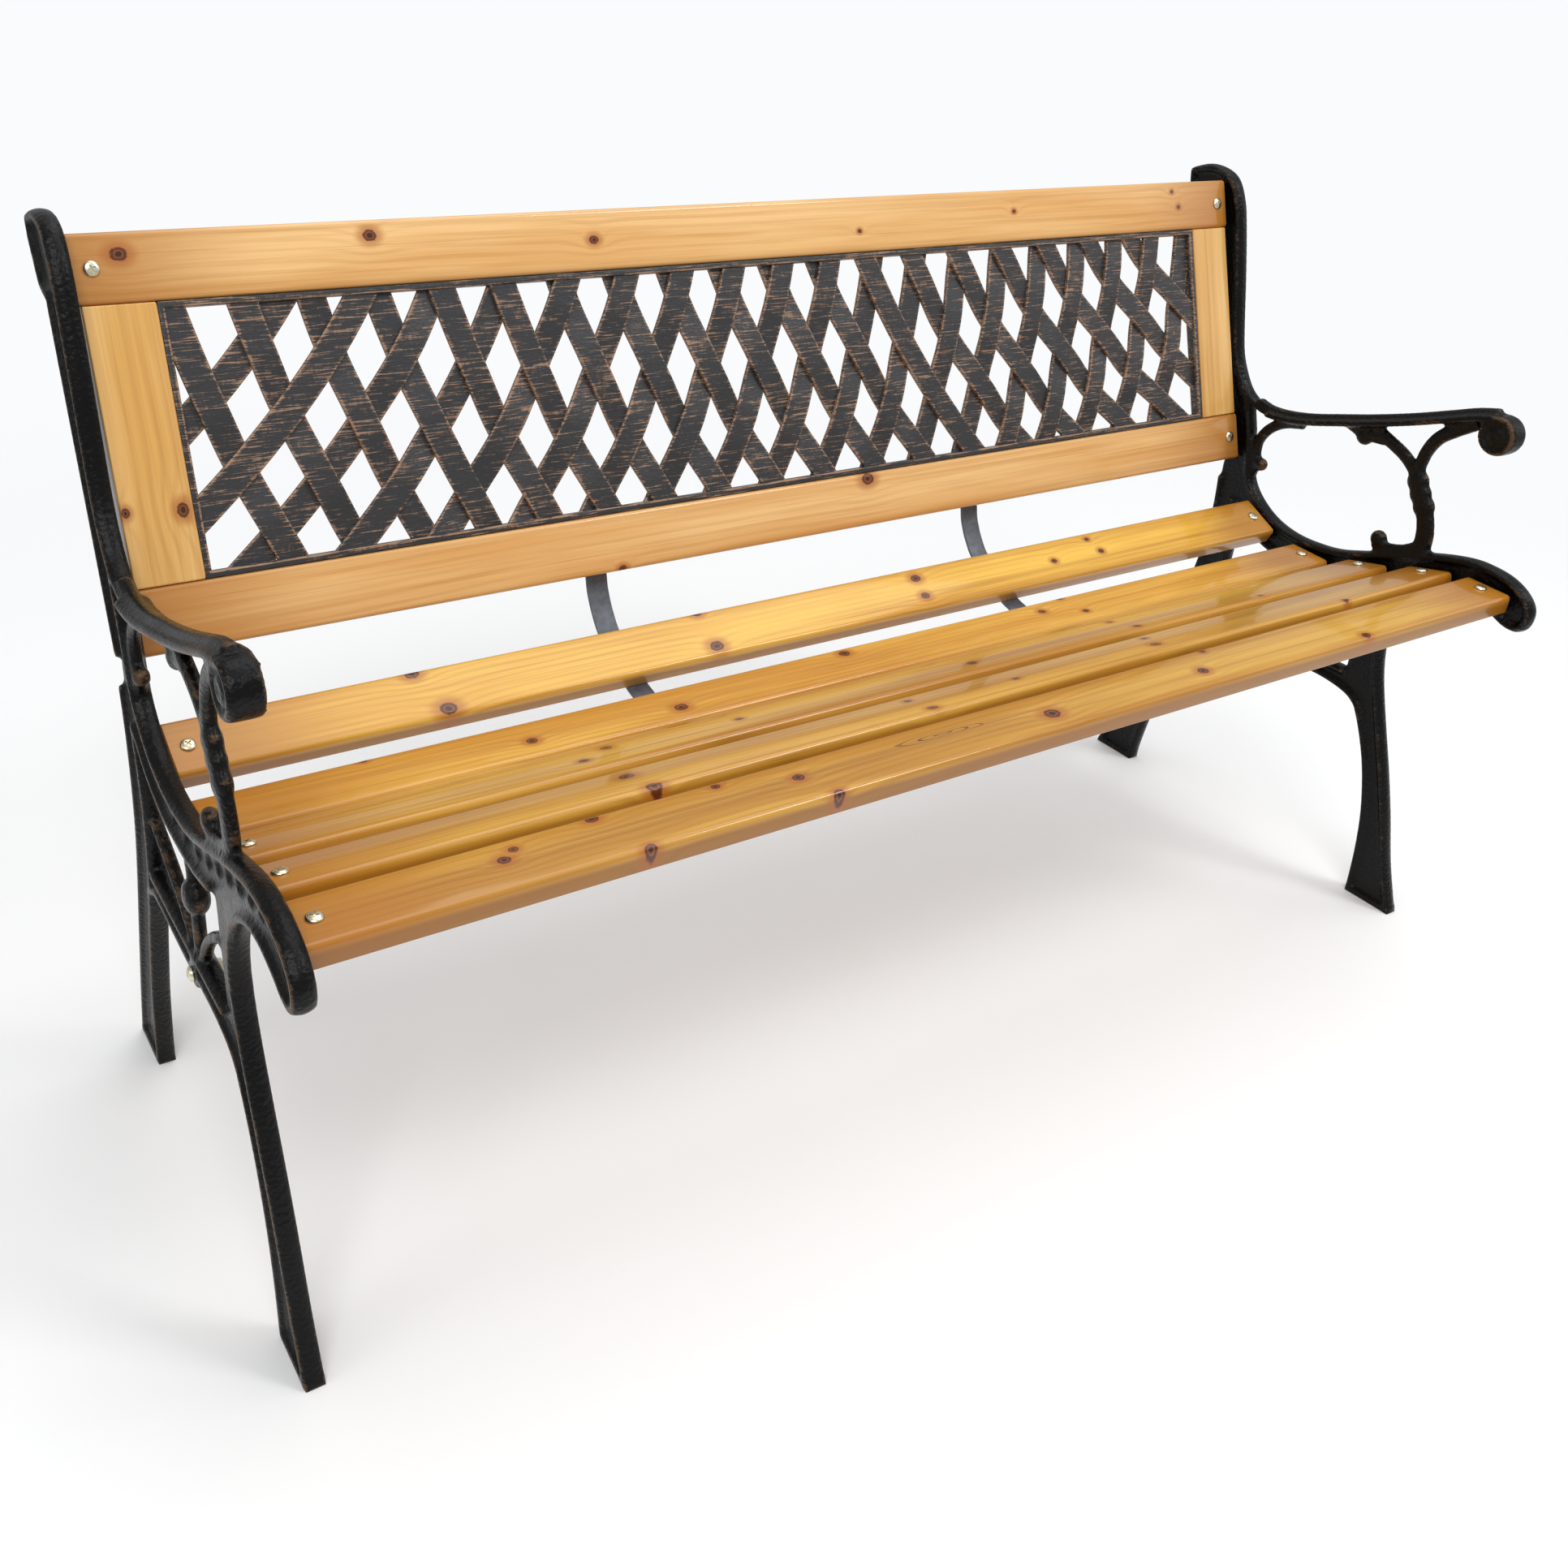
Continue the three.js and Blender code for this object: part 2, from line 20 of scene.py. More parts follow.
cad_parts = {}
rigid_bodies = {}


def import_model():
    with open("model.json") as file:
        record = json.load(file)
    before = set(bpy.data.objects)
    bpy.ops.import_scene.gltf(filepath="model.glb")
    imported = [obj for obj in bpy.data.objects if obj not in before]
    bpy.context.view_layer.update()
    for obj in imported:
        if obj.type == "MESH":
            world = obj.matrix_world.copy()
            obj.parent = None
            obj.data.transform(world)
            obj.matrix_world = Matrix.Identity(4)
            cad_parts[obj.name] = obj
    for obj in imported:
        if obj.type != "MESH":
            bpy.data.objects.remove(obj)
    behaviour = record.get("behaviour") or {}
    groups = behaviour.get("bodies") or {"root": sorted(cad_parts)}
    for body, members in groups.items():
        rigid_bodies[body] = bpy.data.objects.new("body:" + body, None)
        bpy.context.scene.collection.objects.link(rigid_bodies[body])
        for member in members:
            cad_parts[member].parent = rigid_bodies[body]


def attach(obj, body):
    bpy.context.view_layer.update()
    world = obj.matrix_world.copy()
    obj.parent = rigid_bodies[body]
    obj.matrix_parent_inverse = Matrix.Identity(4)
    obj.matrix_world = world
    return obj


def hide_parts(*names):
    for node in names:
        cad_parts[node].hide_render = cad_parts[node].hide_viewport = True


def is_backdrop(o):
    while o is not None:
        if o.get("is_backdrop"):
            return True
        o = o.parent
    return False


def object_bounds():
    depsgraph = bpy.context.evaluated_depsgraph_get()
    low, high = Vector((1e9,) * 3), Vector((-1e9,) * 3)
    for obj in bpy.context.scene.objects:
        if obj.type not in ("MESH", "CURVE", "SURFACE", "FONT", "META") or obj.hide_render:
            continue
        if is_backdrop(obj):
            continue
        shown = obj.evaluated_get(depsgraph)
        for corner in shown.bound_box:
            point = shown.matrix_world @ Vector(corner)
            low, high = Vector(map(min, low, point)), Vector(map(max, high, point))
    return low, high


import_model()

Pair = tuple[float, float]
Point = tuple[float, float, float]
Colour = tuple[float, float, float]
MM = 0.001
FULL_TURN = 2 * math.pi
LOG = logging.getLogger("bench")


class Side(Enum):
    """An end of the bench, by the sitter's hand on it."""

    RIGHT = -1
    LEFT = 1

    @property
    def word(self) -> str:
        """The word that ends the names of pieces on this side."""
        return self.name.lower()


class Slot(Enum):
    """The record's material slots."""

    IRON = "iron"
    LATTICE = "lattice_iron"
    PINE = "pine"
    ZINC = "zinc"
    STEEL = "strap_steel"


# ---- shader building ----------------------------------------------------------------------------
@dataclass(frozen=True)
class Grain:
    """A noise with its own stretch along each axis, in features per metre."""

    stretch: Point
    detail: float = 3.0
    rough: float = 0.6


class Shader:
    """A material's node tree, with short calls for the nodes that the finishes share."""

    def __init__(self, name: str) -> None:
        """Makes an empty material with a principled surface.

        Args:
            name: the material's name.
        """
        self.material = bpy.data.materials.new(name)
        self.material.use_nodes = True
        self.nodes = self.material.node_tree.nodes
        self.links = self.material.node_tree.links
        self.nodes.clear()
        self.surface = self.nodes.new("ShaderNodeBsdfPrincipled")
        out = self.nodes.new("ShaderNodeOutputMaterial")
        self.links.new(self.surface.outputs[0], out.inputs["Surface"])

    def feed(self, socket: bpy.types.NodeSocket, value: object) -> None:
        """Links a socket to another socket, or sets it to a plain value.

        Args:
            socket: the input to feed.
            value: another node's output, or a plain value.
        """
        if isinstance(value, bpy.types.NodeSocket):
            self.links.new(value, socket)
        else:
            socket.default_value = value

    def set(self, **values: object) -> None:
        """Feeds the surface's own sockets; an underscore in a key stands for a space."""
        for key, value in values.items():
            self.feed(self.surface.inputs[key.replace("_", " ")], value)

    def math(self, kind: str, a: object, b: object = 0.0, c: object = 0.0) -> bpy.types.NodeSocket:
        """A Math node.

        Args:
            kind: the operation.
            a: first value or socket.
            b: second value or socket.
            c: third value or socket.

        Returns:
            The result's socket.
        """
        node = self.nodes.new("ShaderNodeMath")
        node.operation = kind
        for socket, value in zip(node.inputs, (a, b, c)):
            self.feed(socket, value)
        return node.outputs[0]

    def span(
        self, value: object, low: float, high: float, start: float = 0.0, end: float = 1.0,
    ) -> bpy.types.NodeSocket:
        """A smooth step from start to end as a value goes from low to high.

        Args:
            value: the socket that is read.
            low: where the step begins.
            high: where it is over; less than low for a step the other way.
            start: the result at low and before it.
            end: the result at high and after it.

        Returns:
            The result's socket.
        """
        node = self.nodes.new("ShaderNodeMapRange")
        node.interpolation_type = "SMOOTHSTEP"
        for socket, item in zip(node.inputs, (value, low, high, start, end)):
            self.feed(socket, item)
        return node.outputs[0]

    def mix(self, share: object, a: object, b: object) -> bpy.types.NodeSocket:
        """A colour mixed from one to another; plain colours are three numbers.

        Args:
            share: how much of the second colour there is, from 0 to 1.
            a: the first colour.
            b: the second colour.

        Returns:
            The colour's socket.
        """
        node = self.nodes.new("ShaderNodeMix")
        node.data_type = "RGBA"
        self.feed(node.inputs[0], share)
        for socket, value in ((node.inputs[6], a), (node.inputs[7], b)):
            self.feed(socket, (*value, 1.0) if isinstance(value, tuple) else value)
        return node.outputs[2]

    def place(self) -> bpy.types.NodeSocket:
        """Object coordinates, in metres in the bench's frame."""
        return self.nodes.new("ShaderNodeTexCoord").outputs["Object"]

    def attribute(self, name: str, vector: bool = False) -> bpy.types.NodeSocket:
        """A mesh attribute.

        Args:
            name: the attribute's name.
            vector: whether it is read as a vector, or as a number.

        Returns:
            The attribute's socket.
        """
        node = self.nodes.new("ShaderNodeAttribute")
        node.attribute_name = name
        return node.outputs["Vector" if vector else "Fac"]

    def scaled(
        self, vector: object, scale: Point, shift: Point = (0.0, 0.0, 0.0),
    ) -> bpy.types.NodeSocket:
        """A vector stretched and moved.

        Args:
            vector: the socket that is read.
            scale: the stretch along each axis.
            shift: the move along each axis, after the stretch.

        Returns:
            The vector's socket.
        """
        node = self.nodes.new("ShaderNodeMapping")
        self.feed(node.inputs["Vector"], vector)
        node.inputs["Location"].default_value = shift
        node.inputs["Scale"].default_value = scale
        return node.outputs[0]

    def noise(self, vector: object, scale: float, detail: float, rough: float) -> bpy.types.NodeSocket:
        """Smooth noise between 0 and 1.

        Args:
            vector: the place that it is read at.
            scale: how many features there are in a unit of length.
            detail: how many finer layers are added.
            rough: how strong the finer layers are.

        Returns:
            The noise's socket.
        """
        node = self.nodes.new("ShaderNodeTexNoise")
        self.feed(node.inputs["Vector"], vector)
        node.inputs["Scale"].default_value = scale
        node.inputs["Detail"].default_value = detail
        node.inputs["Roughness"].default_value = rough
        return node.outputs["Fac"]

    def grain(self, at: object, layer: Grain, shift: Point = (0.0, 0.0, 0.0)) -> bpy.types.NodeSocket:
        """A stretched noise between 0 and 1.

        Args:
            at: the place that it is read at, in metres.
            layer: its stretch and its fineness.
            shift: moves it along each axis, in features.

        Returns:
            The noise's socket.
        """
        return self.noise(self.scaled(at, layer.stretch, shift), 1.0, layer.detail, layer.rough)

    def distance(self, vector: object, point: Point) -> bpy.types.NodeSocket:
        """How far a vector is from a fixed point.

        Args:
            vector: the socket that is read.
            point: the fixed point.

        Returns:
            The distance's socket.
        """
        node = self.nodes.new("ShaderNodeVectorMath")
        node.operation = "DISTANCE"
        self.feed(node.inputs[0], vector)
        node.inputs[1].default_value = point
        return node.outputs["Value"]

    def cells(self, vector: object, scale: float) -> bpy.types.NodeSocket:
        """The distance to the nearest of many scattered points.

        Args:
            vector: the place that it is read at.
            scale: how many points there are in a unit of length.

        Returns:
            The distance's socket.
        """
        node = self.nodes.new("ShaderNodeTexVoronoi")
        node.feature = "SMOOTH_F1"
        self.feed(node.inputs["Vector"], vector)
        node.inputs["Scale"].default_value = scale
        return node.outputs["Distance"]

    def bump(self, height: object, strength: float, depth: float) -> None:
        """Raises the surface by a height field.

        Args:
            height: the field, from 0 to 1.
            strength: how much of the effect is used.
            depth: how high 1 is, in metres.
        """
        node = self.nodes.new("ShaderNodeBump")
        node.inputs["Strength"].default_value = strength
        node.inputs["Distance"].default_value = depth
        self.feed(node.inputs["Height"], height)
        self.links.new(node.outputs[0], self.surface.inputs["Normal"])


@dataclass(frozen=True)
class Knot:
    """A knot on a board: its place along and across the board and its radius, in mm."""

    along: float
    across: float
    radius: float = 4.0


@dataclass(frozen=True)
class PineFinish:
    """Honey-coloured varnish over pine: growth lines, fibre, darker ends and knots, and painted shade
    on the boards' sides and backs.
    """

    pale: Colour = (0.82, 0.470, 0.085)
    mid: Colour = (0.60, 0.278, 0.036)
    line: Colour = (0.34, 0.122, 0.014)
    halo: Colour = (0.38, 0.100, 0.010)
    heart: Colour = (0.075, 0.013, 0.004)
    bark: Colour = (0.018, 0.004, 0.002)
    ends: Colour = (0.40, 0.140, 0.010)
    # edge: painted shade, a darker colour laid on each board's sides and back, below its rounded front
    # edges
    edge: Colour = (0.255, 0.092, 0.005)
    pitch: float = 6.5
    slant: float = 0.6
    roughness: float = 0.34
    coat: float = 0.60
    coat_roughness: float = 0.07
    ior: float = 1.36
    relief: float = 0.0004
    drift: Grain = Grain((0.9, 6.0, 6.0), 1.0, 0.4)
    wander: Grain = Grain((6.0, 50.0, 50.0), 2.0, 0.5)
    jitter: Grain = Grain((210.0, 260.0, 210.0), 3.0, 0.7)
    fibre: Grain = Grain((7.0, 900.0, 900.0))
    straight: Grain = Grain((1.1, 130.0, 130.0), 3.0, 0.65)
    patch: Grain = Grain((2.2, 30.0, 30.0))
    knot_shape: Point = (0.78, 1.0, 0.30)
    no_knot: float = 9.0
    flame_shape: Point = (14.0, 150.0, 40.0)

    def to_knot(self, s: Shader, at: object, knots: Sequence[Knot]) -> object:
        """How far a place is from its nearest knot, in that knot's radii.

        Args:
            s: the material's shader.
            at: the place on the board, in metres.
            knots: the board's knots.

        Returns:
            The distance's socket, or a large number where there are no knots.
        """
        near: object = self.no_knot
        for knot in knots:
            stretch = tuple(share / (knot.radius * MM) for share in self.knot_shape)
            middle = (knot.along * MM * stretch[0], knot.across * MM * stretch[1], 0.0)
            near = s.math("MINIMUM", near, s.distance(s.scaled(at, stretch), middle))
        return near

    def flame(self, s: Shader, at: object, wander: object, streak: Pair) -> bpy.types.NodeSocket:
        """The share of dark resin in a long streak of thin nested veins.

        Args:
            s: the material's shader.
            at: the place on the board, in metres.
            wander: the noise that makes the veins uneven.
            streak: the streak's middle, along and across, in mm.

        Returns:
            The share's socket.
        """
        shape = self.flame_shape
        middle = (streak[0] * MM * shape[0], streak[1] * MM * shape[1], 0.0)
        body = s.math(
            "ADD", s.distance(s.scaled(at, shape), middle), s.math("MULTIPLY_ADD", wander, 1.6, -0.8),
        )
        veins = s.span(s.math("SINE", s.math("MULTIPLY", body, 24.0)), 0.55, 1.0)
        return s.math("MULTIPLY", s.math("MULTIPLY", veins, s.span(body, 1.1, 0.7)), 0.85)

    def late_wood(
        self, s: Shader, across: object, deep: object, near: object, slow: object, wander: object,
    ) -> bpy.types.NodeSocket:
        """The dark late wood of the growth lines, which swell round the knots.

        Args:
            s: the material's shader.
            across: the place across the board, in metres.
            deep: the height over its face, in metres.
            near: the distance to the nearest knot, in radii.
            slow: a noise that bends the lines over a long way.
            wander: a noise that makes them uneven.

        Returns:
            The share of late wood, from 0 to 1.
        """
        falling = s.math("MULTIPLY", near, s.math("MULTIPLY", near, 0.13))
        swell = s.math("DIVIDE", 1.5, s.math("ADD", 1.0, falling))
        rings = s.math("ADD", across, s.math("MULTIPLY", deep, self.slant))
        rings = s.math("MULTIPLY", rings, 1.0 / (self.pitch * MM))
        for bend in (s.math("MULTIPLY", slow, 6.0), s.math("MULTIPLY", wander, 0.7), swell):
            rings = s.math("ADD", rings, bend)
        return s.span(s.math("SINE", s.math("MULTIPLY", rings, FULL_TURN)), -0.2, 1.0)

    def make(
        self, name: str, edges: Pair, knots: Sequence[Knot], seed: float, streak: Pair | None = None,
    ) -> bpy.types.Material:
        """Builds the material of one board.

        Args:
            name: the material's name.
            edges: where the board's two long edges lie across it, in mm.
            knots: the board's knots.
            seed: moves the grain, so that no two boards match.
            streak: the middle of a long dark resin streak, along and across, or None.

        Returns:
            The material. It reads the board's own `board` attribute, in metres.
        """
        s = Shader(name)
        at = s.attribute("board", vector=True)
        split = s.nodes.new("ShaderNodeSeparateXYZ")
        s.feed(split.inputs[0], at)
        along, across, deep = split.outputs
        shift = (seed * 3.7, seed * 1.3, seed * 0.7)
        slow, wander, jitter, fibre, straight, patch = (
            s.grain(at, layer, shift)
            for layer in (self.drift, self.wander, self.jitter, self.fibre, self.straight, self.patch)
        )
        near = self.to_knot(s, at, knots)
        ragged = s.math("ADD", near, s.math("MULTIPLY_ADD", jitter, 0.55, -0.28))
        late = self.late_wood(s, across, deep, near, slow, wander)

        colour = s.mix(s.span(patch, 0.32, 0.68), self.pale, self.mid)
        strength = s.math("MULTIPLY", late, s.span(wander, 0.32, 0.68, 0.03, 0.27))
        colour = s.mix(strength, colour, self.line)
        colour = s.mix(s.span(fibre, 0.50, 0.80, 0.0, 0.46), colour, self.line)
        colour = s.mix(s.span(straight, 0.50, 0.74, 0.0, 0.42), colour, self.line)

        ending = s.span(s.math("ABSOLUTE", along), 0.44, 0.595, 0.0, 0.78)
        colour = s.mix(ending, colour, self.ends)
        half = (edges[1] - edges[0]) / 2 * MM
        off = s.math("ABSOLUTE", s.math("SUBTRACT", across, (edges[0] + edges[1]) / 2 * MM))
        colour = s.mix(s.span(off, half - 0.0090, half - 0.0030, 0.0, 0.22), colour, self.ends)
        # Painted shade: the board's sides and back, more than about 4 mm behind its front face, darken
        # towards the edge colour.
        colour = s.mix(s.span(deep, -0.0038, -0.0085, 0.0, 0.72), colour, self.edge)
        if streak is not None:
            colour = s.mix(self.flame(s, at, wander, streak), colour, self.heart)

        colour = s.mix(s.span(near, 2.6, 1.05, 0.0, 0.62), colour, self.halo)
        colour = s.mix(s.span(ragged, 1.08, 0.84, 0.0, 0.94), colour, self.heart)
        circles = s.span(s.math("SINE", s.math("MULTIPLY", ragged, 15.0)), 0.1, 0.9, 0.0, 0.55)
        colour = s.mix(s.math("MULTIPLY", circles, s.span(ragged, 0.95, 0.80)), colour, self.halo)
        colour = s.mix(s.span(ragged, 0.40, 0.20, 0.0, 0.9), colour, self.bark)
        s.set(
            Base_Color=colour, Roughness=self.roughness, Coat_Weight=self.coat,
            Coat_Roughness=self.coat_roughness, IOR=self.ior,
        )
        height = s.math("MULTIPLY_ADD", late, -0.25, s.math("MULTIPLY", fibre, 0.5))
        s.bump(height, 0.35, self.relief)
        return s.material


@dataclass(frozen=True)
class CastFinish:
    """Glossy black paint on cast iron, hammered by the mould and rubbed to bronze on its ridges."""

    paint: Colour = (0.0032, 0.0030, 0.0030)
    bronze: Colour = (0.135, 0.078, 0.042)
    pits: float = 330.0
    sand: float = 900.0
    clouds: float = 28.0
    brush: Grain = Grain((260.0, 70.0, 520.0), 3.0, 0.65)
    specular: float = 0.17
    relief: float = 0.0013

    def make(self, name: str) -> bpy.types.Material:
        """Builds the material.

        Args:
            name: the material's name.

        Returns:
            The material. It reads the piece's `rub` attribute, from 0 to 1.
        """
        s = Shader(name)
        at = s.place()
        pits = s.cells(at, self.pits)
        fine = s.noise(at, self.sand, 3.0, 0.6)
        broad = s.noise(at, self.clouds, 4.0, 0.6)
        brush = s.grain(at, self.brush)
        worn = s.math("ADD", s.attribute("rub"), s.math("MULTIPLY_ADD", broad, 0.9, -0.52))
        worn = s.math("ADD", worn, s.math("MULTIPLY_ADD", brush, 1.1, -0.62))
        worn = s.span(worn, 0.50, 0.82, 0.0, 0.62)
        s.set(
            Base_Color=s.mix(worn, self.paint, self.bronze),
            Roughness=s.math("MULTIPLY_ADD", worn, 0.14, s.span(broad, 0.3, 0.7, 0.19, 0.33)),
            Metallic=s.math("MULTIPLY", worn, 0.55),
            Specular_IOR_Level=self.specular,
        )
        height = s.math("ADD", s.math("MULTIPLY", pits, 0.7), s.math("MULTIPLY", fine, 0.3))
        s.bump(height, 0.6, self.relief)
        return s.material


@dataclass(frozen=True)
class LatticeFinish:
    """Black iron, dry-brushed with copper: fine level scratches, strongest along the bars' edges."""

    paint: Colour = (0.0250, 0.0255, 0.0285)
    copper: Colour = (0.43, 0.255, 0.155)
    scratches: Grain = Grain((36.0, 300.0, 950.0), 3.0, 0.62)
    slant: Grain = Grain((420.0, 200.0, 160.0))
    patches: float = 17.0
    pits: float = 420.0
    specular: float = 0.5
    relief: float = 0.0008

    def make(self, name: str) -> bpy.types.Material:
        """Builds the material.

        Args:
            name: the material's name.

        Returns:
            The material. It reads `across`, which is -1 and 1 at the two edges of a bar.
        """
        s = Shader(name)
        at = s.place()
        edge = s.span(s.math("ABSOLUTE", s.attribute("across")), 0.70, 0.98)
        level = s.grain(at, self.scratches)
        patch = s.noise(at, self.patches, 3.0, 0.6)
        slant = s.grain(at, self.slant)
        worn = s.math("MULTIPLY_ADD", edge, 0.135, s.math("MULTIPLY_ADD", patch, 0.22, -0.11))
        worn = s.math("ADD", worn, level)
        worn = s.math("ADD", worn, s.math("MULTIPLY_ADD", slant, 0.20, -0.10))
        mask = s.span(worn, 0.560, 0.685, 0.0, 0.78)
        s.set(
            Base_Color=s.mix(mask, self.paint, self.copper),
            Roughness=s.math("MULTIPLY_ADD", mask, 0.12, 0.40),
            Metallic=s.math("MULTIPLY", mask, 0.35),
            Specular_IOR_Level=self.specular,
        )
        pits = s.math("MULTIPLY", s.cells(at, self.pits), 0.4)
        s.bump(s.math("MULTIPLY_ADD", level, 0.6, pits), 0.45, self.relief)
        return s.material


@dataclass(frozen=True)
class PlatedFinish:
    """Plated or oiled steel, with soft stains and fine turning marks."""

    colour: Colour
    stain: Colour
    roughness: float
    metallic: float = 1.0
    clouds: float = 190.0
    marks: float = 1600.0
    relief: float = 0.0002

    def make(self, name: str) -> bpy.types.Material:
        """Builds the material.

        Args:
            name: the material's name.

        Returns:
            The material.
        """
        s = Shader(name)
        at = s.place()
        cloud = s.noise(at, self.clouds, 4.0, 0.6)
        fine = s.noise(at, self.marks, 2.0, 0.6)
        s.set(
            Base_Color=s.mix(s.span(cloud, 0.35, 0.7, 0.0, 0.7), self.colour, self.stain),
            Roughness=s.math("MULTIPLY_ADD", fine, 0.18, self.roughness - 0.05),
            Metallic=self.metallic,
        )
        s.bump(fine, 0.2, self.relief)
        return s.material


ZINC = PlatedFinish((0.80, 0.76, 0.60), (0.60, 0.50, 0.30), 0.26)
STEEL = PlatedFinish((0.135, 0.145, 0.170), (0.085, 0.09, 0.10), 0.48, 0.5)


# ---- mesh building ------------------------------------------------------------------------------
def spline(points: Sequence[Pair], per_span: int = 6) -> list[Pair]:
    """A smooth line through points.

    Args:
        points: the points, in order.
        per_span: how many steps lead from each point to the next.

    Returns:
        The line's points, the given ones among them.
    """
    fine: list[Pair] = []
    last = len(points) - 1
    for i in range(last):
        p0, p1 = np.array(points[max(i - 1, 0)]), np.array(points[i])
        p2, p3 = np.array(points[i + 1]), np.array(points[min(i + 2, last)])
        v0, v1 = (p2 - p0) / 2, (p3 - p1) / 2
        cubic, square = 2 * p1 - 2 * p2 + v0 + v1, -3 * p1 + 3 * p2 - 2 * v0 - v1
        for k in range(per_span):
            t = k / per_span
            p = cubic * t**3 + square * t**2 + v0 * t + p1
            fine.append((float(p[0]), float(p[1])))
    return fine + [tuple(points[last])]


def headings(path: Sequence[Pair]) -> list[tuple[float, float, Vector]]:
    """The direction of travel along a line.

    Args:
        path: the line's points, in order.

    Returns:
        Each point's two coordinates and the unit direction there.
    """
    last = len(path) - 1
    steps = []
    for i, (y, z) in enumerate(path):
        ahead, behind = path[min(i + 1, last)], path[max(i - 1, 0)]
        along = Vector((ahead[0] - behind[0], ahead[1] - behind[1])).normalized()
        steps.append((y, z, along))
    return steps


def ring_faces(rings: int, size: int, closed: bool = False) -> list[tuple[int, ...]]:
    """The faces that join equal rings of points, each to the next.

    Args:
        rings: how many rings there are.
        size: how many points each has.
        closed: whether the last ring is joined to the first.

    Returns:
        The faces.
    """
    faces = []
    for r in range(rings if closed else rings - 1):
        here, there = r * size, (r + 1) % rings * size
        for k in range(size):
            after = (k + 1) % size
            faces.append((here + k, here + after, there + after, there + k))
    return faces


def circle(radius: float, height: float, sides: int) -> list[Point]:
    """A level ring of points round Z.

    Args:
        radius: its radius.
        height: its Z.
        sides: how many points it has.

    Returns:
        The points.
    """
    turns = [FULL_TURN * k / sides for k in range(sides)]
    return [(radius * math.cos(turn), radius * math.sin(turn), height) for turn in turns]


def arc_corners(outline: Sequence[tuple[float, float, float, int]]) -> list[Pair]:
    """A convex outline whose corners are rounded.

    Args:
        outline: corners in order, each with its place, its radius and its number of steps.

    Returns:
        The rounded outline's points.
    """
    points: list[Pair] = []
    count = len(outline)
    for i, (x, y, radius, steps) in enumerate(outline):
        here = Vector((x, y))
        back = (Vector(outline[i - 1][:2]) - here).normalized()
        ahead = (Vector(outline[(i + 1) % count][:2]) - here).normalized()
        if radius <= 0:
            points.append((x, y))
            continue
        half = math.acos(max(-1.0, min(1.0, back.dot(ahead)))) / 2
        start, stop = here + back * radius / math.tan(half), here + ahead * radius / math.tan(half)
        centre = here + (back + ahead).normalized() * radius / math.sin(half)
        first = math.atan2(*(start - centre).yx)
        sweep = math.atan2(*(stop - centre).yx) - first
        sweep = (sweep + math.pi) % FULL_TURN - math.pi
        for k in range(steps + 1):
            turn = first + sweep * k / steps
            points.append((centre.x + radius * math.cos(turn), centre.y + radius * math.sin(turn)))
    return points


@dataclass
class Shells:
    """Closed shells in millimetres, gathered to become one piece."""

    verts: list[Point] = field(default_factory=list)
    faces: list[tuple[int, ...]] = field(default_factory=list)

    def put(self, verts: Iterable[Sequence[float]], faces: Iterable[Sequence[int]]) -> None:
        """Adds a shell.

        Args:
            verts: its points.
            faces: its faces, which count from its own first point.
        """
        start = len(self.verts)
        self.verts += [tuple(v) for v in verts]
        self.faces += [tuple(start + i for i in face) for face in faces]

    def loft(self, loops: Sequence[Sequence[Sequence[float]]]) -> None:
        """Adds a shell that joins equal loops of points and is closed at both ends.

        Args:
            loops: the loops, in order.
        """
        size, count = len(loops[0]), len(loops)
        faces = ring_faces(count, size)
        faces += [tuple(reversed(range(size))), tuple(range((count - 1) * size, count * size))]
        self.put([p for loop in loops for p in loop], faces)

    def mesh(self, name: str, place: Matrix = Matrix.Identity(4)) -> bpy.types.Mesh:
        """Makes the mesh, in metres, with its faces outward.

        Args:
            name: the mesh's name.
            place: moves it in the bench's frame, in millimetres.

        Returns:
            The mesh.
        """
        mesh = bpy.data.meshes.new(name)
        mesh.from_pydata(self.verts, [], self.faces)
        mesh.transform(Matrix.Scale(MM, 4) @ place)
        work = bmesh.new()
        work.from_mesh(mesh)
        bmesh.ops.recalc_face_normals(work, faces=work.faces)
        work.to_mesh(mesh)
        work.free()
        return mesh


def shown(name: str, mesh: bpy.types.Mesh) -> bpy.types.Object:
    """Links a mesh into the scene.

    Args:
        name: the object's name.
        mesh: its mesh, already in place.

    Returns:
        The object, at the origin.
    """
    piece = bpy.data.objects.new(name, mesh)
    bpy.context.scene.collection.objects.link(piece)
    return piece


def baked(piece: bpy.types.Object) -> bpy.types.Mesh:
    """Runs a piece's modifiers and removes them.

    Args:
        piece: the piece; its own mesh isn't changed.

    Returns:
        The plain mesh that the modifiers gave.
    """
    bpy.context.view_layer.update()
    graph = bpy.context.evaluated_depsgraph_get()
    mesh = bpy.data.meshes.new_from_object(
        piece.evaluated_get(graph), preserve_all_data_layers=True, depsgraph=graph,
    )
    piece.modifiers.clear()
    return mesh


def soften(mesh: bpy.types.Mesh, degrees: float) -> None:
    """Shades a mesh smooth, apart from edges sharper than an angle."""
    mesh.shade_smooth()
    mesh.set_sharp_from_angle(angle=math.radians(degrees))


def enter(piece: bpy.types.Object, slot: Slot, nodes: Sequence[str]) -> None:
    """Hands a finished piece to the frame.

    Args:
        piece: the piece, at the origin.
        slot: not used.
        nodes: the CAD nodes that it stands for.
    """
    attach(piece, "root")
    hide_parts(*nodes)
    LOG.info("%s: %d faces, for %s", piece.name, len(piece.data.polygons), ", ".join(nodes))


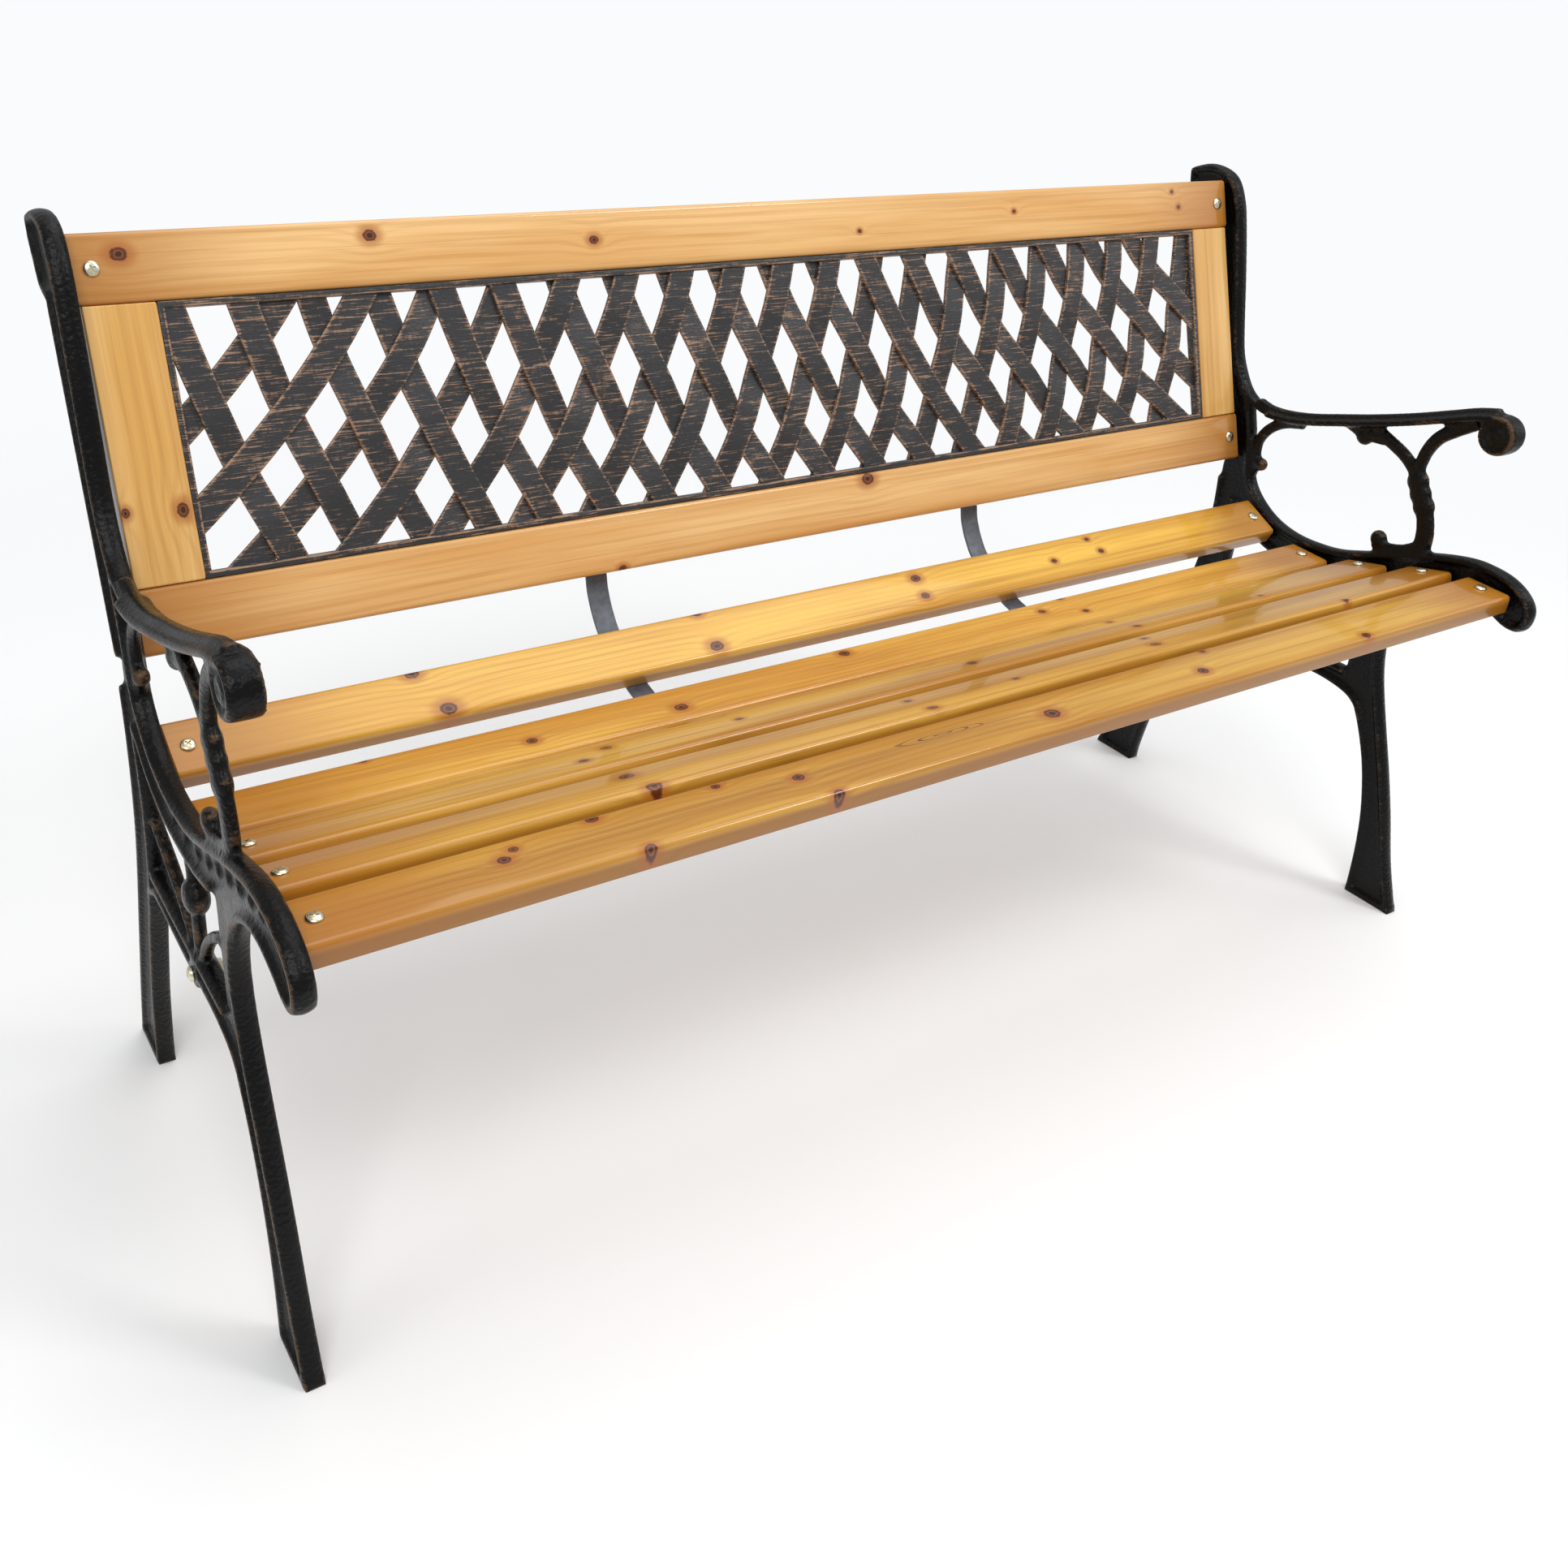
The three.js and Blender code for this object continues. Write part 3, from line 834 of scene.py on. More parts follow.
class NodeGroup:
    """A geometry node tree with named inputs, ending in Realize Instances and Set Material."""

    def __init__(self, name: str, inputs: dict[str, str]) -> None:
        """Makes the tree.

        Args:
            name: the tree's name.
            inputs: each input's name and socket type, besides the geometry and the finish.
        """
        self.tree = bpy.data.node_groups.new(name, "GeometryNodeTree")
        sockets = {"Geometry": "NodeSocketGeometry", **inputs, "Finish": "NodeSocketMaterial"}
        self.ids = {
            key: self.tree.interface.new_socket(name=key, in_out="INPUT", socket_type=kind).identifier
            for key, kind in sockets.items()
        }
        self.tree.interface.new_socket(
            name="Geometry", in_out="OUTPUT", socket_type="NodeSocketGeometry",
        )
        self.given = self.tree.nodes.new("NodeGroupInput")

    def node(self, kind: str, **links: object) -> bpy.types.Node:
        """Adds a node and feeds its inputs.

        Args:
            kind: the node's type.
            links: a socket or a plain value for each input; an underscore stands for a space.

        Returns:
            The node.
        """
        node = self.tree.nodes.new(kind)
        for key, value in links.items():
            socket = node.inputs[key.replace("_", " ")]
            if isinstance(value, bpy.types.NodeSocket):
                self.tree.links.new(value, socket)
            else:
                socket.default_value = value
        return node

    def finish(self, geometry: bpy.types.NodeSocket) -> None:
        """Ends the tree at its output.

        Args:
            geometry: what the tree has made.
        """
        real = self.node("GeometryNodeRealizeInstances", Geometry=geometry)
        dressed = self.node(
            "GeometryNodeSetMaterial", Geometry=real.outputs[0], Material=self.given.outputs["Finish"],
        )
        out = self.tree.nodes.new("NodeGroupOutput")
        self.tree.links.new(dressed.outputs[0], out.inputs[0])

    def run(self, piece: bpy.types.Object, **values: object) -> bpy.types.Mesh:
        """Runs the tree on a piece.

        Args:
            piece: the piece whose mesh the tree reads.
            values: the tree's named inputs; an underscore stands for a space.

        Returns:
            The plain mesh that the tree makes.
        """
        modifier = piece.modifiers.new(self.tree.name, "NODES")
        modifier.node_group = self.tree
        for key, value in values.items():
            modifier[self.ids[key.replace("_", " ")]] = value
        return baked(piece)


# ---- the wood -----------------------------------------------------------------------------------
def board_place(y: float, z: float, tilt: float) -> Matrix:
    """The frame of a board: X along it, Y across it and Z out of its front or top face."""
    return Matrix.Translation((0.0, y, z)) @ Matrix.Rotation(math.radians(tilt), 4, "X")


RECLINE = board_place(130.1, 477.2, 90 - 17.66)
SLATS: dict[str, Matrix] = {
    "seat_slat_a_rear": board_place(68.8, 375.4, 27),
    "seat_slat_b": board_place(-3.7, 357.1, 3.2),
    "seat_slat_c": board_place(-74.3, 370.9, -12.2),
    "seat_slat_d": board_place(-145.9, 390.2, -12.9),
    "seat_slat_e_front": board_place(-211.3, 396.5, 3),
}
SEATS: dict[str, tuple[Matrix, float]] = {
    "top_rail": (RECLINE, 227.0),
    "low_rail": (RECLINE, -26.0),
    **{name: (place, 0.0) for name, place in SLATS.items()},
}


@dataclass
class Board:
    """A pine board with rounded front edges, in the frame of the place that it lies in."""

    node: str
    place: Matrix
    low: float
    high: float
    near_end: float = -593.5
    far_end: float = 593.5
    thick: float = 18.0
    round: float = 4.0
    back_round: float = 1.2
    chamfer: float = 0.8
    seed: float = 1.0
    knots: tuple[Knot, ...] = ()
    streak: Pair | None = None
    upright: bool = False
    finish: PineFinish = PineFinish()

    def build(self) -> bpy.types.Object:
        """Makes the board's mesh and its `board` attribute, which the grain follows.

        Returns:
            The board, not yet painted.
        """
        outline = arc_corners([
            (self.low, -self.thick, self.back_round, 3),
            (self.high, -self.thick, self.back_round, 3),
            (self.high, 0.0, self.round, 7),
            (self.low, 0.0, self.round, 7),
        ])
        middle = Vector(((self.low + self.high) / 2, -self.thick / 2))
        size = Vector((self.high - self.low, self.thick))
        loops = []
        for x, inset in (
            (self.near_end, self.chamfer),
            (self.near_end + self.chamfer, 0.0),
            (self.far_end - self.chamfer, 0.0),
            (self.far_end, self.chamfer),
        ):
            shrink = [1 - 2 * inset / size[i] for i in range(2)]
            loops.append([
                (x, middle.x + (v - middle.x) * shrink[0], middle.y + (w - middle.y) * shrink[1])
                for v, w in outline
            ])
        shells = Shells()
        shells.loft(loops)
        mesh = shells.mesh(self.node + "_board", self.place)
        local = (np.array(shells.verts) * MM).astype(np.float32)
        if self.upright:
            centre = (self.near_end + self.far_end) / 2 * MM
            local = local[:, [1, 0, 2]] - np.array([0.0, centre, 0.0], np.float32)
        mesh.attributes.new("board", "FLOAT_VECTOR", "POINT").data.foreach_set("vector", local.ravel())
        soften(mesh, 40)
        return shown(self.node + "_board", mesh)

    def dress(self, piece: bpy.types.Object) -> None:
        """Gives the board its own grain and knots, and hands it to the frame.

        Args:
            piece: the board.
        """
        edges = (self.near_end, self.far_end) if self.upright else (self.low, self.high)
        shift = (edges[0] + edges[1]) / 2 if self.upright else 0.0
        edges = (edges[0] - shift, edges[1] - shift)
        pine = self.finish.make("pine_" + self.node, edges, self.knots, self.seed, self.streak)
        piece.data.materials.append(pine)
        enter(piece, Slot.PINE, [self.node])


BACK_PINE = PineFinish(
    pale=(0.86, 0.540, 0.225), mid=(0.72, 0.375, 0.115), line=(0.46, 0.185, 0.034), pitch=8.0,
)
BRIGHT_PINE = PineFinish(pale=(0.86, 0.515, 0.078), mid=(0.67, 0.335, 0.038))
DEEP_PINE = PineFinish(
    pale=(0.67, 0.375, 0.056), mid=(0.47, 0.215, 0.024), line=(0.26, 0.090, 0.009),
)
STILE_PINE = PineFinish(
    pale=(0.86, 0.545, 0.205), mid=(0.70, 0.380, 0.095), line=(0.48, 0.215, 0.040), pitch=9.0,
)


def slat(
    name: str, seed: float, finish: PineFinish, knots: Sequence[Knot], streak: Pair | None = None,
) -> Board:
    """A slat of the seat, 50 mm wide.

    Args:
        name: its CAD node.
        seed: moves its grain.
        finish: its varnish and pine.
        knots: its knots.
        streak: the middle of its resin streak, or None.

    Returns:
        The slat.
    """
    return Board(
        name, SLATS[name], -25, 25, seed=seed, finish=finish, knots=tuple(knots), streak=streak,
    )


@dataclass
class Woodwork:
    """All the boards: two rails and two stiles in the back, and five slats in the seat."""

    boards: tuple[Board, ...] = (
        Board("top_back_rail", RECLINE, 202, 252, seed=1.0, finish=BACK_PINE, knots=(
            Knot(-560, 236, 5), Knot(-375, 240, 4.5), Knot(-183, 227, 3.5), Knot(93, 221, 2),
            Knot(285, 231, 2), Knot(510, 242, 2), Knot(519, 226, 2.4),
        )),
        Board("low_back_rail", RECLINE, -51, -1, seed=2.0, finish=BACK_PINE, knots=(
            Knot(-195, -49, 3), Knot(75, -7, 5.5),
        )),
        Board(
            "back_stile_right", RECLINE, -0.7, 201.7, -591, -540, round=1.5, seed=3.0, upright=True,
            finish=STILE_PINE, knots=(Knot(55, -22, 3), Knot(52, 18, 4.5)),
        ),
        Board(
            "back_stile_left", RECLINE, -0.7, 201.7, 540, 591, round=1.5, seed=4.4, upright=True,
            finish=STILE_PINE,
        ),
        slat("seat_slat_a_rear", 5.0, BRIGHT_PINE, (
            Knot(-400, 22, 5), Knot(-384, -18, 6), Knot(-134, 24, 4), Knot(-133, -15, 5.5),
            Knot(106, 12, 4.5), Knot(104, -10, 4), Knot(277, -2, 3), Knot(343, -2, 3),
            Knot(336, 16, 2.5),
        )),
        slat("seat_slat_b", 6.2, PineFinish(), (
            Knot(-467, 23, 3), Knot(-341, -4, 4), Knot(-208, -7, 5), Knot(-26, 15, 4.5),
            Knot(205, 7, 3.5), Knot(242, 23, 3), Knot(248, -9, 3),
        )),
        slat("seat_slat_c", 7.1, DEEP_PINE, (
            Knot(-305, 13, 4), Knot(-332, -3, 3.5), Knot(-191, 3, 3), Knot(46, -3, 4),
            Knot(229, 13, 3), Knot(236, -15, 3.5), Knot(404, -18, 2.5),
        )),
        slat("seat_slat_d", 8.6, DEEP_PINE, (
            Knot(-329, 9, 5), Knot(-324, -22, 5), Knot(-72, 12, 3), Knot(-69, -16, 4),
            Knot(32, -1, 3), Knot(190, -7, 4.5), Knot(198, 14, 3), Knot(430, -22, 3),
        )),
        slat("seat_slat_e_front", 9.3, DEEP_PINE, (
            Knot(-385, 21, 4), Knot(-456, 4, 4), Knot(-446, 12, 3), Knot(-289, 19, 3),
            Knot(-229, 4, 4), Knot(7, -5, 6), Knot(179, -5, 4.5), Knot(206, 21, 3),
            Knot(377, -20, 4), Knot(-365, -25, 4), Knot(-213, -25, 4),
        ), streak=(-95, 8)),
    )

    def make(self) -> None:
        """Builds and dresses every board."""
        for board in self.boards:
            board.dress(board.build())


# ---- the castings -------------------------------------------------------------------------------
HOOK_TO_ARM = (
    (258, 722), (234, 729), (212, 727), (196, 718), (184, 698), (176, 672), (164, 621), (153, 569),
    (146, 541), (137, 522), (124, 504), (108, 494), (90, 489.5), (66, 490), (36, 495), (0, 504.5),
    (-38, 515), (-83, 529), (-125, 544), (-150, 553), (-172, 558.3),
)
REAR_OF_UPRIGHT = (
    (140, 385), (140, 414), (138, 423), (216, 669), (236, 675), (247, 692), (256, 706), (258, 722),
)
SEAT_LINE = (
    (118, 496), (114, 480), (108, 460), (103, 436), (98, 413), (89, 398), (75, 385.5), (58, 375.5),
    (39, 369), (16, 365.5), (-12, 366), (-37, 369.5), (-65, 378), (-96, 389), (-130, 400),
    (-165, 409.5), (-192, 413.3), (-219, 411), (-237, 405), (-250, 396), (-257, 386), (-258, 375),
    (-255, 366), (-247, 360.7),
)
NOSE_TO_FOOT = (
    (-247, 360.7), (-234, 362), (-216, 369.5), (-192, 375), (-166, 371), (-141, 357), (-122, 334),
    (-113, 305), (-114, 277), (-121, 245), (-136, 200), (-153, 152), (-168, 105), (-183, 52),
    (-202, 0),
)
FRONT_LEG_REAR = ((-144, 0), (-143, 50), (-138, 100), (-126, 150), (-111, 188), (-97, 214))
BACK_LEG_FRONT = (
    (191, 0), (188, 25), (176, 80), (160, 130), (144, 175), (130, 210), (117, 250), (109, 290),
    (106, 320), (107, 350), (111, 380),
)
BACK_LEG_REAR = (
    (140, 400), (139, 364), (141, 330), (146, 296), (154, 262), (170, 215), (191, 160), (212, 105),
    (232, 52), (250, 0),
)
APRON_LOW = ((-76, 342), (-40, 335), (0, 333), (44, 336), (78, 348), (112, 372))
ARCH = (
    (-100, 210), (-87, 219), (-66, 224), (-40, 226), (0, 225), (45, 226), (88, 228), (112, 226),
    (134, 214),
)
STRETCHER_TOP = ((-76, 246), (116, 246))


@dataclass(frozen=True)
class Rib:
    """A rib of the tracery: points in Y and Z, and its half-width at each end."""

    points: tuple[Pair, ...]
    half: Pair


@dataclass(frozen=True)
class Bead:
    """A round swelling of the tracery: its middle in Y and Z, and its radius."""

    centre: Pair
    radius: float


TRACERY = (
    Rib(((44, 487), (68, 481), (86, 470), (97, 455), (99, 440), (96, 425), (100, 410)), (6.5, 5.0)),
    Rib(((-44, 506), (-60, 500), (-84, 489), (-102, 474)), (6.6, 6.4)),
    Rib(((-152, 545), (-128, 529), (-114, 517), (-105, 500), (-101, 478)), (8.0, 6.4)),
    Rib((
        (-98, 484), (-105, 468), (-112, 455), (-120, 440), (-125, 424), (-126, 408), (-120, 392),
    ), (8.6, 10.4)),
    Rib(((-122, 402), (-108, 394), (-94, 390), (-82, 389), (-73, 393)), (8.0, 7.0)),
    Rib(((-4, 506), (-20, 501), (-36, 499), (-56, 501)), (5.0, 8.5)),
    Rib(((-76, 304), (-50, 288), (-28, 268), (-14, 246)), (4.5, 4.5)),
    Rib(((104, 300), (70, 286), (35, 268), (8, 246)), (4.5, 4.5)),
    Rib(((-4, 240), (-6, 296), (-4, 338)), (5.5, 5.5)),
)
BEADS = (
    Bead((-104, 469), 12.4), Bead((-110, 457.5), 12.4), Bead((-117, 446), 12.4),
    Bead((89, 427), 7.6), Bead((-32, 496), 10.0), Bead((-76, 397), 9.4),
)
ROSETTE = Bead((-6, 296), 15.0)
BOSS = Bead((-3, 229), 12.0)
SCROLL_CENTRE = (-177.5, 539.3)


@dataclass
class EndCasting:
    """One cast-iron end: legs, upright, seat rim, armrest and ornament in a single casting."""

    side: Side
    inner: float = 594.0
    outer: float = 610.0
    web: Pair = (599.0, 605.0)
    tracery: Pair = (597.0, 607.0)
    arm: Pair = (590.0, 614.0)
    arm_core: Pair = (596.5, 607.5)
    rim_thick: float = 6.5
    ridge: float = 1.5
    frieze_depth: float = 3.2
    leaves: int = 11
    leaf: Pair = (12.0, 6.4)
    lug: Pair = (562.0, 602.0)
    lug_faces: Pair = (-18.3, -23.3)
    voxel: float = 0.0021
    rub_gain: float = 9.0
    finish: CastFinish = CastFinish()
    shells: Shells = field(default_factory=Shells)

    def strip(self, path: Sequence[Pair], section: Sequence[Pair]) -> None:
        """Sweeps a section along a line in the side view.

        Args:
            path: the line, as points in Y and Z.
            section: the section's outline, as X and as the distance to the left of travel.
        """
        self.shells.loft([
            [(self.side.value * x, y - along.y * n, z + along.x * n) for x, n in section]
            for y, z, along in headings(path)
        ])

    def rim(
        self, path: Sequence[Pair], sense: int = 1, span: Pair | None = None,
        ridge: float | None = None,
    ) -> None:
        """A raised rim whose outer face rises to a soft ridge along its middle.

        Args:
            path: the rim's outer line, as points in Y and Z.
            sense: 1 for a rim on the left of travel, -1 on the right.
            span: its two sides in X, or None for the casting's own.
            ridge: how high the ridge is, or None for the casting's own.
        """
        near, far = span or (self.inner, self.outer)
        crown = self.ridge if ridge is None else ridge
        half, thick = (far - near) / 2, self.rim_thick
        section = [
            (near, 1.6), (near + 1.4, 0.2), (near + half, -crown), (far - 1.4, 0.2), (far, 1.6),
            (far, thick - 1.6), (far - 1.6, thick), (near + 1.6, thick), (near, thick - 1.6),
        ]
        self.strip(path, [(x, n * sense) for x, n in section])

    def branch(self, rib: Rib, span: Pair | None = None) -> None:
        """A rounded rib that tapers from one half-width to another.

        Args:
            rib: its line and its half-widths.
            span: its two sides in X, or None for the tracery's own.
        """
        near, far = span or self.tracery
        path = headings(spline(rib.points))
        mid, reach = (near + far) / 2, (far - near) / 2
        sides, squareness = 14, 0.7
        loops = []
        for i, (y, z, along) in enumerate(path):
            width = rib.half[0] + (rib.half[1] - rib.half[0]) * i / (len(path) - 1)
            loop = []
            for k in range(sides):
                level, rise = math.cos(FULL_TURN * k / sides), math.sin(FULL_TURN * k / sides)
                x = mid + reach * math.copysign(abs(level) ** squareness, level)
                n = width * math.copysign(abs(rise) ** squareness, rise)
                loop.append((self.side.value * x, y - along.y * n, z + along.x * n))
            loops.append(loop)
        self.shells.loft(loops)

    def plate(
        self, outline: Sequence[Pair], holes: Sequence[Sequence[Pair]] = (), span: Pair | None = None,
    ) -> None:
        """A flat web with holes through it.

        Args:
            outline: its outline, as points in Y and Z.
            holes: the holes' outlines.
            span: its two faces in X, or None for the casting's own.
        """
        near, far = span or self.web
        loops = [[Vector((y, z, 0)) for y, z in loop] for loop in (outline, *holes)]
        flat = [p for loop in loops for p in loop]
        triangles = tessellate_polygon(loops)
        count = len(flat)
        verts = [(self.side.value * x, p.x, p.y) for x in (near, far) for p in flat]
        faces = [tuple(t) for t in triangles]
        faces += [tuple(count + i for i in reversed(t)) for t in triangles]
        start = 0
        for loop in loops:
            size = len(loop)
            for k in range(size):
                a, b = start + k, start + (k + 1) % size
                faces.append((a, b, count + b, count + a))
            start += size
        self.shells.put(verts, faces)

    def turned(self, centre: Pair, profile: Sequence[Pair], steps: int = 36) -> None:
        """A shape turned about an axis along X.

        Args:
            centre: the axis, in Y and Z.
            profile: X and radius, from one end to the other.
            steps: how many sides the round has.
        """
        y, z = centre
        turns = [FULL_TURN * k / steps for k in range(steps)]
        self.shells.loft([
            [(self.side.value * x, y + radius * math.cos(a), z + radius * math.sin(a)) for a in turns]
            for x, radius in profile
        ])

    def knob(self, bead: Bead, span: Pair | None = None) -> None:
        """A rounded knob on the tracery.

        Args:
            bead: its place and its radius.
            span: the two sides in X that it stands out from, or None for the tracery's own.
        """
        near, far = span or self.tracery
        mid, reach = (near + far) / 2, (far - near) / 2 + 1.5
        steps = [math.pi * (k + 0.25) / 8.5 for k in range(9)]
        profile = [(mid - reach * math.cos(a), bead.radius * math.sin(a) ** 0.75) for a in steps]
        self.turned(bead.centre, profile, 24)

    def scroll(self) -> None:
        """The rolled front end of the armrest, with a groove and an eye on its flat sides."""
        near, far = self.arm
        depths = (
            (1.6, 3.0), (0.4, 6.0), (1.2, 8.6), (3.4, 10.0), (3.4, 12.2), (0.9, 14.0), (0.0, 16.8),
            (1.6, 18.8), (5.0, 19.5),
        )
        profile = [(near + depth, radius) for depth, radius in depths]
        profile += [(far - depth, radius) for depth, radius in reversed(depths)]
        self.turned(SCROLL_CENTRE, profile, 48)

    def frieze(self) -> list[list[Pair]]:
        """The leaf-shaped hollows in a row along the apron, under the seat rim.

        Returns:
            Their outlines, as points in Y and Z.
        """
        line = spline(SEAT_LINE, 12)
        steps = np.cumsum([0.0] + [math.dist(a, b) for a, b in zip(line, line[1:])])
        start, reach, under, points = 0.32, 0.54, 17.0, 16
        hollows = []
        for i in range(self.leaves):
            length = steps[-1] * (start + reach * i / (self.leaves - 1))
            k = int(np.searchsorted(steps, length)) - 1
            along = (Vector(line[k + 1]) - Vector(line[k])).normalized()
            middle = Vector(line[k]) + Vector((-along.y, along.x)) * under
            leaf = []
            for m in range(points):
                turn = FULL_TURN * m / points
                a = self.leaf[0] * math.cos(turn)
                b = self.leaf[1] * math.sin(turn) * (1 - 0.35 * math.cos(turn))
                y = middle.x + a * along.x - b * along.y
                z = middle.y + a * along.y + b * along.x
                leaf.append((y, z))
            hollows.append(leaf)
        return hollows

    def rims(self) -> None:
        """Every raised rim of the casting."""
        for path, sense in (
            (spline(HOOK_TO_ARM), 1), (spline(SEAT_LINE), 1), (spline(NOSE_TO_FOOT), 1),
            (spline(FRONT_LEG_REAR), 1), (spline(BACK_LEG_FRONT), -1), (spline(BACK_LEG_REAR), -1),
            (spline(REAR_OF_UPRIGHT[2:4], 1), 1), (spline(REAR_OF_UPRIGHT[3:], 2), 1),
            (spline(APRON_LOW), 1), (spline(ARCH), 1), (STRETCHER_TOP, -1),
        ):
            self.rim(path, sense)
        wide_arm = spline(HOOK_TO_ARM)[72:]
        self.rim(wide_arm, span=self.arm, ridge=1.0)

    def webs(self) -> None:
        """The flat webs between the rims, and the soles of the feet."""
        self.plate([*spline(HOOK_TO_ARM[:11], 3), *SEAT_LINE[:5], *REAR_OF_UPRIGHT[:-1]])
        nose, apron_foot = spline(NOSE_TO_FOOT[:6], 3)[1:], spline(APRON_LOW, 3)
        apron = [*spline(SEAT_LINE[3:], 3), *nose, *apron_foot, BACK_LEG_REAR[0]]
        middle = self.web[1] - self.frieze_depth
        self.plate(apron, span=(self.web[0], middle + 0.5))
        self.plate(apron, self.frieze(), span=(middle, self.web[1]))
        front_leg = [*spline(NOSE_TO_FOOT[4:], 3), *spline(FRONT_LEG_REAR, 3)]
        self.plate([*front_leg, STRETCHER_TOP[0], APRON_LOW[0]])
        behind, before = reversed(spline(BACK_LEG_REAR, 3)), reversed(spline(BACK_LEG_FRONT, 3))
        self.plate([*behind, SEAT_LINE[4], *before])
        self.plate([*spline(ARCH, 3), *reversed(STRETCHER_TOP)])
        for y0, y1 in ((-202.0, -144.0), (191.0, 250.0)):
            sole = [(y0, 0), (y1, 0), (y1 - 1, 6.5), (y0 + 1.5, 6.5)]
            self.plate(sole, span=(self.inner, self.outer))

    def build(self) -> bpy.types.Object:
        """Gathers every part of the casting and fuses them under one smooth skin.

        Returns:
            The casting, not yet painted.
        """
        self.rims()
        self.webs()
        self.branch(Rib(HOOK_TO_ARM[11:], (6.0, 6.0)), self.arm_core)
        self.scroll()
        for rib in TRACERY:
            self.branch(rib)
        for bead in BEADS:
            self.knob(bead)
        self.knob(ROSETTE, (self.inner, self.outer))
        self.turned(BOSS.centre, [
            (self.inner, BOSS.radius - 1.5), (self.inner + 1.5, BOSS.radius),
            (self.outer - 1.5, BOSS.radius), (self.outer, BOSS.radius - 1.5),
        ])
        self.lugs()
        return shown(f"end_casting_{self.side.word}", self.fused())

    def lugs(self) -> None:
        """The seven tongues that the boards are bolted to."""
        tip, root = self.lug
        half, corner = 18, 6
        for place, middle in SEATS.values():
            loop = arc_corners([
                (tip, middle - half, corner, 5), (tip, middle + half, corner, 5),
                (root, middle + half, 0, 1), (root, middle - half, 0, 1),
            ])
            self.shells.loft([
                [tuple(place @ Vector((self.side.value * x, v, w))) for x, v in loop]
                for w in self.lug_faces
            ])

    def fused(self) -> bpy.types.Mesh:
        """Joins the shells into one skin, smooths it, and marks where its ridges would be rubbed.

        Returns:
            The mesh, with its `rub` attribute from 0 to 1.
        """
        blank = shown("blank", self.shells.mesh("blank"))
        skin = blank.modifiers.new("skin", "REMESH")
        skin.mode, skin.voxel_size, skin.adaptivity = "VOXEL", self.voxel, 0.0
        mesh = baked(blank)
        bpy.data.objects.remove(blank)
        count = len(mesh.vertices)
        points = np.empty(count * 3, np.float32)
        mesh.vertices.foreach_get("co", points)
        points = points.reshape(-1, 3).astype(np.float64)
        edges = np.empty(len(mesh.edges) * 2, np.int64)
        mesh.edges.foreach_get("vertices", edges)
        a, b = edges.reshape(-1, 2).T
        valence = np.maximum(np.bincount(np.concatenate([a, b]), minlength=count), 1)

        def neighbours(values: np.ndarray) -> np.ndarray:
            """Averages a value over each vertex's neighbours.

            Args:
                values: a row for each vertex.

            Returns:
                The averages, in rows.
            """
            columns = [
                np.bincount(a, column[b], count) + np.bincount(b, column[a], count)
                for column in np.atleast_2d(values.T)
            ]
            return np.array(columns).T / valence[:, None]

        for share in (0.5, 0.5, -0.35, 0.4):
            points += (neighbours(points) - points) * share
        points[:, 2] = np.maximum(points[:, 2], 0.0)
        mesh.vertices.foreach_set("co", points.astype(np.float32).ravel())
        mesh.update()
        normals = np.empty(count * 3, np.float32)
        mesh.vertices.foreach_get("normal", normals)
        pull = neighbours(points) - points
        curve = -(pull * normals.reshape(-1, 3)).sum(1)[:, None] / self.voxel
        for _ in range(2):
            curve = 0.4 * curve + 0.6 * neighbours(curve)
        rub = np.clip(curve[:, 0] * self.rub_gain, 0.0, 1.0).astype(np.float32)
        mesh.attributes.new("rub", "FLOAT", "POINT").data.foreach_set("value", rub)
        mesh.shade_smooth()
        return mesh

    def dress(self, piece: bpy.types.Object) -> None:
        """Paints the casting and hands it to the frame.

        Args:
            piece: the casting.
        """
        piece.data.materials.clear()
        piece.data.materials.append(self.finish.make(f"black_casting_{self.side.word}"))
        enter(piece, Slot.IRON, [f"end_frame_{self.side.word}"])


# ---- the woven panel ----------------------------------------------------------------------------
class Lean(Enum):
    """Which way a bar leans as it falls: away from the first end, or towards it."""

    AWAY = 1
    BACK = -1


